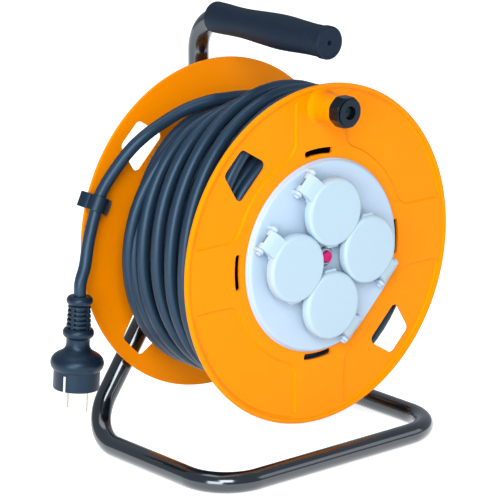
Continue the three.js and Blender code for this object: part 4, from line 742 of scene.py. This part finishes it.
def flange(hole, windows, slot_shift=(0, 0, 0)):
    """A flange with its outer side facing -Y and its spokes' outer face at y = 0."""
    steps = []
    for angle in (0, 90, 180, 270):
        steps.append(("UNION", turn(prism(sector_outline(1.4), 1.9, 2.9, top=sector_outline(-1.6)), angle)))
    for angle in (0, 90, 180, 270):
        steps.append(("DIFFERENCE", turn(prism(sector_outline(1.3), -1, 1.5, top=sector_outline(-0.9)), angle)))
        steps.append(("DIFFERENCE", move(turn(prism(slot_outline(), -1, 4), angle), slot_shift)))
    for angle in windows:
        steps.append(("DIFFERENCE", turn(prism(window_outline(), -1, 5), angle)))
    return combine(lathe([(hole, 0)] + RIM + [(hole, 2.4)], 180), steps)


neck = lathe([(0, -22.5), (11.5, -22.5), (12.1, -22.2), (12.4, -21.6), (12.45, -14), (12.6, -7), (12.9, -4.2),
              (13.6, -2.3), (14.6, -1.1), (15.6, -0.5), (16.1, -0.1), (16.2, 1.2), (0, 1.2)], 72, (0, 0, 127))
neck_hole = disc(2.9, -24, 0.2, 32, (0, 0, 127))
fill = lathe([(70, 0), (80, 0), (80, 2.4), (70, 2.4)], 120)
beyond = turn(block((75.5, -1, -82), (84, 4, 82)), 315)
chord = combine(fill, [("INTERSECT", beyond)])
front = combine(flange(79, (135, 315), (-2.8, 0, 1)), [("UNION", chord), ("UNION", neck), ("DIFFERENCE", neck_hole)])
piece("flange_front", move(front, (0, FRONT, 0)), ORANGE, "drum", replaces=("front_flange",),
      bevel=0.45, smooth=40)

rear = flange(9.7, (45, 135, 225, 315))
bmesh.ops.rotate(rear, verts=rear.verts, cent=(0, 0, 0), matrix=Matrix.Rotation(math.pi, 3, "Z"))
move(rear, (0, REAR_FACE, 0))
sleeve = disc(13.7, 15, 66, 64, inner=9.7)
steps = [("UNION", sleeve)]
for k in range(8):
    rib = bmesh.new()
    rib.faces.new([rib.verts.new((x, y, -1)) for x, y in ((13, 66), (81.4, 66), (81.4, 62.8), (13, 43.8))])
    grown = bmesh.ops.extrude_face_region(rib, geom=list(rib.faces))
    bmesh.ops.translate(rib, vec=(0, 0, 2), verts=[v for v in grown["geom"] if isinstance(v, bmesh.types.BMVert)])
    bmesh.ops.recalc_face_normals(rib, faces=rib.faces)
    steps.append(("UNION", turn(rib, 45 * k)))
BOSS_ANGLES = [22.5 + 90 * k for k in range(4)]
for angle in BOSS_ANGLES:
    steps.append(("DIFFERENCE", turn(move(disc(2.2, 60, 70, 24), (78, 0, 0)), -angle)))
piece("flange_rear", combine(rear, steps), ORANGE, "drum", replaces=("rear_flange",),
      bevel=0.45, smooth=40)

for number, angle in enumerate(BOSS_ANGLES, 1):
    face = REAR_FACE + 0.3
    screw = lathe([(0, face - 18.4), (1.9, face - 16.4), (1.9, face), (4, face), (4, face + 0.5), (3.6, face + 1.2),
                   (2.8, face + 1.8), (1.6, face + 2.1), (0, face + 2.2)], 32)
    cross = [("DIFFERENCE", block((-2.3, face + 1, -0.4), (2.3, face + 3, 0.4))),
             ("DIFFERENCE", block((-0.4, face + 1, -2.3), (0.4, face + 3, 2.3)))]
    screw = turn(move(combine(screw, cross), (78, 0, 0)), -angle)
    piece(f"rear_screw_{number}", screw, ZINC, "drum", replaces=(f"flange_screw_{number}",))

# ---------- Socket panel ----------

FACE = -75.8
FOOT = FACE + 4.7
PANEL_BACK = FACE + 2.8
COLLAR = FACE - 3.5
WELL_FLOOR = COLLAR + 17.5
WELL_BACK = WELL_FLOOR + 2.2
HINGE_Y = FACE - 4.3
HINGE_X = 37
SOCKETS = [(0, 41, 135), (-41, 0, 135), (0, -41, 315), (41, 0, 315)]


def at_socket(shape, socket):
    x, z, angle = SOCKETS[socket]
    return move(turn(shape, angle), (x, 0, z))


def hinge_rod(profile, segments=32):
    """A profile of (radius, place along the hinge) turned round the hinge axis."""
    rod = lathe(profile, segments)
    bmesh.ops.rotate(rod, verts=rod.verts, cent=(0, 0, 0), matrix=Matrix.Rotation(math.pi / 2, 3, "X"))
    return move(rod, (HINGE_X, HINGE_Y, 0))


def hinge_ear(side):
    outline = [(HINGE_X - 4.6, FACE + 2)] + [(HINGE_X + 3.6 * math.cos(a), HINGE_Y + 3.6 * math.sin(a))
                                             for a in (-math.pi + math.pi * k / 20 for k in range(21))]
    outline.append((HINGE_X + 3.6, FACE + 2))
    ear = bmesh.new()
    low = 9.4 if side > 0 else -12.4
    ear.faces.new([ear.verts.new((x, y, low)) for x, y in outline])
    grown = bmesh.ops.extrude_face_region(ear, geom=list(ear.faces))
    bmesh.ops.translate(ear, vec=(0, 0, 3), verts=[v for v in grown["geom"] if isinstance(v, bmesh.types.BMVert)])
    bmesh.ops.recalc_face_normals(ear, faces=ear.faces)
    return ear


panel_profile = [(0, FACE), (78, FACE), (79.2, FACE + 0.1), (80.2, FACE + 0.45), (80.9, FACE + 1), (81.3, FACE + 1.7),
                 (81.5, FACE + 2.6), (82.4, FACE + 3.2), (82.6, FACE + 3.8), (82.6, FOOT), (78.6, FOOT), (78.6, FOOT + 12),
                 (75.8, FOOT + 12), (75.8, PANEL_BACK), (0, PANEL_BACK)]
steps = [("DIFFERENCE", turn(block((76.5, FACE - 1, -85), (86, FOOT + 0.05, 85)), 315)),
         ("DIFFERENCE", turn(block((75.1, FOOT - 0.05, -85), (86, FOOT + 13, 85)), 315))]
for angle in (45, 225):
    steps.append(("UNION", turn(move(disc(3.6, PANEL_BACK - 0.5, WELL_BACK + 1.3, 24), (56, 0, 0)), angle)))
    steps.append(("DIFFERENCE", turn(move(disc(1.8, PANEL_BACK + 1, WELL_BACK + 3, 20), (56, 0, 0)), angle)))
for socket in range(4):
    steps.append(("DIFFERENCE", at_socket(disc(22, FACE - 1, PANEL_BACK + 1, 96), socket)))
    steps.append(("UNION", at_socket(hinge_ear(-1), socket)))
    steps.append(("UNION", at_socket(hinge_ear(1), socket)))
    steps.append(("DIFFERENCE", at_socket(hinge_rod([(0, -20), (1.7, -20), (1.7, 20), (0, 20)], 24), socket)))
steps.append(("DIFFERENCE", disc(8.5, FACE - 1, PANEL_BACK + 1, 48)))
piece("panel_moulding", combine(lathe(panel_profile, 160), steps), PANEL, "drum",
      replaces=("socket_panel",), bevel=0.35, smooth=40)


def well_shape():
    """A well with its collar, its rim behind the panel, pin holes, and a guide above and below."""
    rim = PANEL_BACK + 0.3
    lip = FACE - 6.6
    cup = lathe([(0, WELL_FLOOR), (19.9, WELL_FLOOR), (19.9, lip + 0.5), (20.3, lip + 0.1), (20.8, lip),
                 (21.3, lip + 0.1), (21.7, lip + 0.5), (21.7, rim), (24.2, rim), (24.2, rim + 1.5),
                 (21.7, rim + 1.5), (21.7, WELL_BACK), (0, WELL_BACK)], 96)
    steps = []
    for side in (-1, 1):
        steps.append(("DIFFERENCE", move(disc(3, WELL_FLOOR - 1, WELL_BACK + 1, 32), (0, 0, 9.5 * side))))
        low, high = sorted((18.6 * side, 17.6 * side))
        steps.append(("DIFFERENCE", block((low - 0.3, WELL_FLOOR - 1, -3.3), (high + 0.3, WELL_BACK + 1, 3.3))))
        low, high = sorted((18.9 * side, 20.6 * side))
        steps.append(("UNION", block((-2, COLLAR + 5, low), (2, WELL_FLOOR + 0.5, high))))
    return combine(cup, steps)


for socket in range(4):
    piece(f"well_cup_{socket + 1}", at_socket(well_shape(), socket), PANEL, "drum",
          replaces=(f"socket_insert_{socket + 1}",), bevel=0.25, smooth=40)

# ---------- Lids, hinge pins and springs ----------

LID_TOP = FACE - 13.6
LID_FOOT = FACE - 5.8
ARM_TOP = HINGE_Y - 3.6
POCKET = 2.95


def lid_shape():
    cap = lathe([(0, LID_TOP), (25, LID_TOP), (26.2, LID_TOP + 0.08), (27.2, LID_TOP + 0.4), (28, LID_TOP + 1),
                 (28.5, LID_TOP + 1.8), (28.8, LID_TOP + 2.8), (28.9, LID_TOP + 4), (28.9, LID_FOOT - 0.6),
                 (28.5, LID_FOOT), (26.9, LID_FOOT), (26.9, LID_TOP + 2.6), (26.3, LID_TOP + 2), (22.4, LID_TOP + 2),
                 (22.4, LID_TOP + 3.1), (21.2, LID_TOP + 3.1), (21.2, LID_TOP + 2), (0, LID_TOP + 2)], 120)
    cap = move(cap, (-1.4, 0, 0))
    shoulder = arc(3, 202.4, 270, 8, (29.12, 12))
    outline = shoulder + [(HINGE_X, 9), (HINGE_X, -9)] + [(x, -z) for x, z in shoulder[::-1]]
    arm = bmesh.new()
    side = [(24.4, LID_TOP + 1.2), (HINGE_X - 3.5, LID_TOP + 2.5), (HINGE_X - 1.4, HINGE_Y - 5.4),
            (HINGE_X + 1.2, HINGE_Y - 3.9), (HINGE_X + 3, HINGE_Y - 2.8), (HINGE_X + 3.6, HINGE_Y), (HINGE_X, HINGE_Y),
            (HINGE_X - 4, LID_FOOT + 0.6), (24.4, LID_TOP + 5)]
    arm.faces.new([arm.verts.new((x, y, -9)) for x, y in side])
    grown = bmesh.ops.extrude_face_region(arm, geom=list(arm.faces))
    bmesh.ops.translate(arm, vec=(0, 0, 18), verts=[v for v in grown["geom"] if isinstance(v, bmesh.types.BMVert)])
    bmesh.ops.recalc_face_normals(arm, faces=arm.faces)
    steps = [("UNION", arm), ("UNION", prism(outline, ARM_TOP, ARM_TOP + 2.4)),
             ("UNION", hinge_rod([(0, -9), (3.6, -9), (3.6, 9), (0, 9)], 40))]
    tab = turn(prism(rounded([(26.8, -6), (30.6, -6), (30.6, 6), (26.8, 6)], 1.6), LID_FOOT - 3.4, LID_FOOT - 0.4), 135)
    steps.append(("UNION", move(tab, (-1.4, 0, 0))))
    steps.append(("DIFFERENCE", block((HINGE_X - 6, HINGE_Y, -3.9), (46, HINGE_Y + 9, 3.9))))
    steps.append(("DIFFERENCE", block((HINGE_X, HINGE_Y - 1.6, -3.9), (46, HINGE_Y + 9, 3.9))))
    steps.append(("DIFFERENCE", hinge_rod([(0, -3.9), (POCKET, -3.9), (POCKET, 3.9), (0, 3.9)], 32)))
    steps.append(("DIFFERENCE", hinge_rod([(0, -20), (1.7, -20), (1.7, 20), (0, 20)], 24)))
    return combine(cap, steps)


def spring_line():
    line = []
    turns, pitch, coil = 3.5, 1.5, 2.2
    for k in range(-1, int(turns * 24) + 1):
        at = max(k, 0) / 24
        a = math.pi / 2 - at * 2 * math.pi
        reach = 5.4 if k < 0 else 0
        line.append((HINGE_X + coil * math.cos(a) - reach, HINGE_Y + coil * math.sin(a), (at - turns / 2) * pitch))
    return line


pin_profile = [(0, -14.2), (1.6, -14.1), (2.4, -13.8), (2.8, -13.3), (2.9, -12.8), (1.4, -12.7), (1.4, 12.7),
               (2.9, 12.8), (2.8, 13.3), (2.4, 13.8), (1.6, 14.1), (0, 14.2)]
for socket in range(4):
    number = socket + 1
    piece(f"lid_cover_{number}", at_socket(lid_shape(), socket), LID, f"lid_{number}",
          replaces=(f"socket_lid_{number}",), bevel=0.4, smooth=50)
    piece(f"lid_pin_{number}", at_socket(hinge_rod(pin_profile), socket), PANEL, "drum",
          replaces=(f"hinge_pin_{number}",))
    piece(f"lid_wire_{number}", at_socket(tube(spring_line(), 0.45, 10), socket), SPRING, "drum",
          replaces=(f"lid_spring_{number}",), smooth=60)

# ---------- Reset button and thermal cut-out ----------

cutout = lathe([(5.4, FACE + 1), (7, FACE + 1), (7.2, PANEL_BACK + 0.3), (11, PANEL_BACK + 0.3), (11, FACE + 12.6),
                (0, FACE + 12.6), (0, FACE + 10.6), (5.4, FACE + 10.6)], 64)
piece("cutout_housing", cutout, DARK_RING, "drum", replaces=("thermal_cutout",))
BEZEL = FACE - 2.1
bezel = lathe([(5.3, BEZEL + 0.4), (5.6, BEZEL + 0.1), (6, BEZEL), (6.5, BEZEL + 0.1), (6.9, BEZEL + 0.5),
               (7.2, BEZEL + 1.2), (7.2, FACE + 0.8), (5.3, FACE + 0.8)], 64)
piece("cutout_bezel", bezel, PANEL, "drum")
button = lathe([(0, FACE - 3.7), (1.6, FACE - 3.8), (3, FACE - 4.05), (3.8, FACE - 4.2), (4.4, FACE - 4.1),
                (4.8, FACE - 3.7), (5, FACE - 3.1), (5, FACE + 7.8), (0, FACE + 7.8)], 48)
piece("reset_cap", button, RED, "reset_button", replaces=("reset_button",))

# ---------- Crank knob ----------

KNOB_FRONT, KNOB_BACK = FRONT - 22.5 - 0.4 - 11.2, FRONT - 22.5 - 0.4
outline = []
for k in range(160):
    a = 2 * math.pi * k / 160
    off = (a + math.pi / 8) % (math.pi / 4) - math.pi / 8
    reach = min(13.5, 12.55 / math.cos(off))
    outline.append((reach * math.cos(a), reach * math.sin(a)))
knob = combine(prism(outline, KNOB_FRONT, KNOB_BACK), [
    ("INTERSECT", lathe([(0, KNOB_FRONT), (12, KNOB_FRONT), (12.8, KNOB_FRONT + 0.4), (13.3, KNOB_FRONT + 1),
                         (13.5, KNOB_FRONT + 2), (13.5, KNOB_BACK - 1), (13.1, KNOB_BACK - 0.3),
                         (12.6, KNOB_BACK), (0, KNOB_BACK)], 96)),
    ("DIFFERENCE", lathe([(0, KNOB_FRONT - 1), (11.2, KNOB_FRONT - 1), (10.6, KNOB_FRONT + 0.2), (10, KNOB_FRONT + 1),
                          (8.4, KNOB_FRONT + 1.3), (8.2, KNOB_FRONT + 1.6), (0, KNOB_FRONT + 1.6)], 72)),
    ("DIFFERENCE", disc(5.7, KNOB_FRONT - 1, KNOB_FRONT + 4.2, 48)),
    ("DIFFERENCE", disc(3.1, KNOB_FRONT - 1, KNOB_BACK + 1, 32))])
piece("knob_grip", move(knob, (0, 0, 127)), BLACK, "crank_knob", replaces=("crank_knob",),
      bevel=0.3, smooth=40)
HEAD = KNOB_FRONT + 1.4
pin = lathe([(0, HEAD), (0.9, HEAD + 0.05), (1.5, HEAD + 0.35), (2, HEAD + 0.5), (4.2, HEAD + 0.6), (5, HEAD + 0.9),
             (5.4, HEAD + 1.6), (5.4, HEAD + 2.4), (2.6, HEAD + 2.4), (2.6, FRONT - 0.2), (0, FRONT - 0.2)], 48)
piece("knob_rivet", move(pin, (0, 0, 127)), BLACK, "drum", replaces=("knob_pin",))

# ---------- Cord clip ----------


def clip_shape():
    arch = CABLE_R + 0.8 + 1.1
    rim_y, foot_y, reach, cord = REAR_FACE + 1.2 + 0.3 + 1.1, REAR_FACE - 2.4 - 1.2 - 0.3 - 1.1, 150, 140.9
    line = [(RIM_IN - 3, rim_y), (reach - 1.5, rim_y), (reach - 0.4, rim_y - 0.4), (reach, rim_y - 1.5),
            (reach, foot_y + 1)]
    line += [(cord + arch * math.cos(math.radians(a)), 57 + arch * math.sin(math.radians(a)))
             for a in range(28, -212, -12)]
    line += [(cord - arch - 2.2, foot_y), (cord - arch - 8.4, foot_y), (cord - arch - 10.4, foot_y - 2)]
    strip = bmesh.new()
    start = [strip.verts.new((x, y, -6.5)) for x, y in line]
    for a, b in zip(start, start[1:]):
        strip.edges.new((a, b))
    grown = bmesh.ops.extrude_edge_only(strip, edges=list(strip.edges))
    bmesh.ops.translate(strip, vec=(0, 0, 13), verts=[v for v in grown["geom"] if isinstance(v, bmesh.types.BMVert)])
    bmesh.ops.recalc_face_normals(strip, faces=strip.faces)
    # The strap lies square to the cable, which crosses the rim on a slant.
    bmesh.ops.rotate(strip, verts=strip.verts, cent=(cord, 57, 0), matrix=Matrix.Rotation(math.radians(8), 3, "Y"))
    return turn(strip, 163)


clip_mesh = clip_shape()
clip = piece("clip_strap", clip_mesh, VINYL, "drum", replaces=("cord_clip",))
thick = clip.modifiers.new("wall", "SOLIDIFY")
thick.thickness = 2.2 * MM
thick.offset = 0
soft = clip.modifiers.new("edges", "BEVEL")
soft.width = 0.5 * MM
soft.segments = 2
soft.limit_method = "ANGLE"
soft.angle_limit = math.radians(50)
bake(clip)
soften(clip, 45)

# ---------- Finishes of the pieces that stay as they are ----------

for name, material in (("axle_washer", ZINC), ("axle_nut", ZINC), ("hub_bush_front", ACETAL),
                       ("hub_bush_rear", ACETAL), ("drum_barrel", BLACK), ("contact_carrier", BLACK),
                       ("carrier_screw_1", ZINC), ("carrier_screw_2", ZINC), ("busbar_line", BRASS),
                       ("busbar_neutral", BRASS), ("earth_strap_1", BRASS), ("earth_strap_2", BRASS),
                       ("earth_strap_3", BRASS), ("earth_strap_4", BRASS)):
    thing = frame["nodes"][name]
    for slot in thing.material_slots:
        slot.material = material

bpy.context.scene.view_settings.view_transform = "Standard"
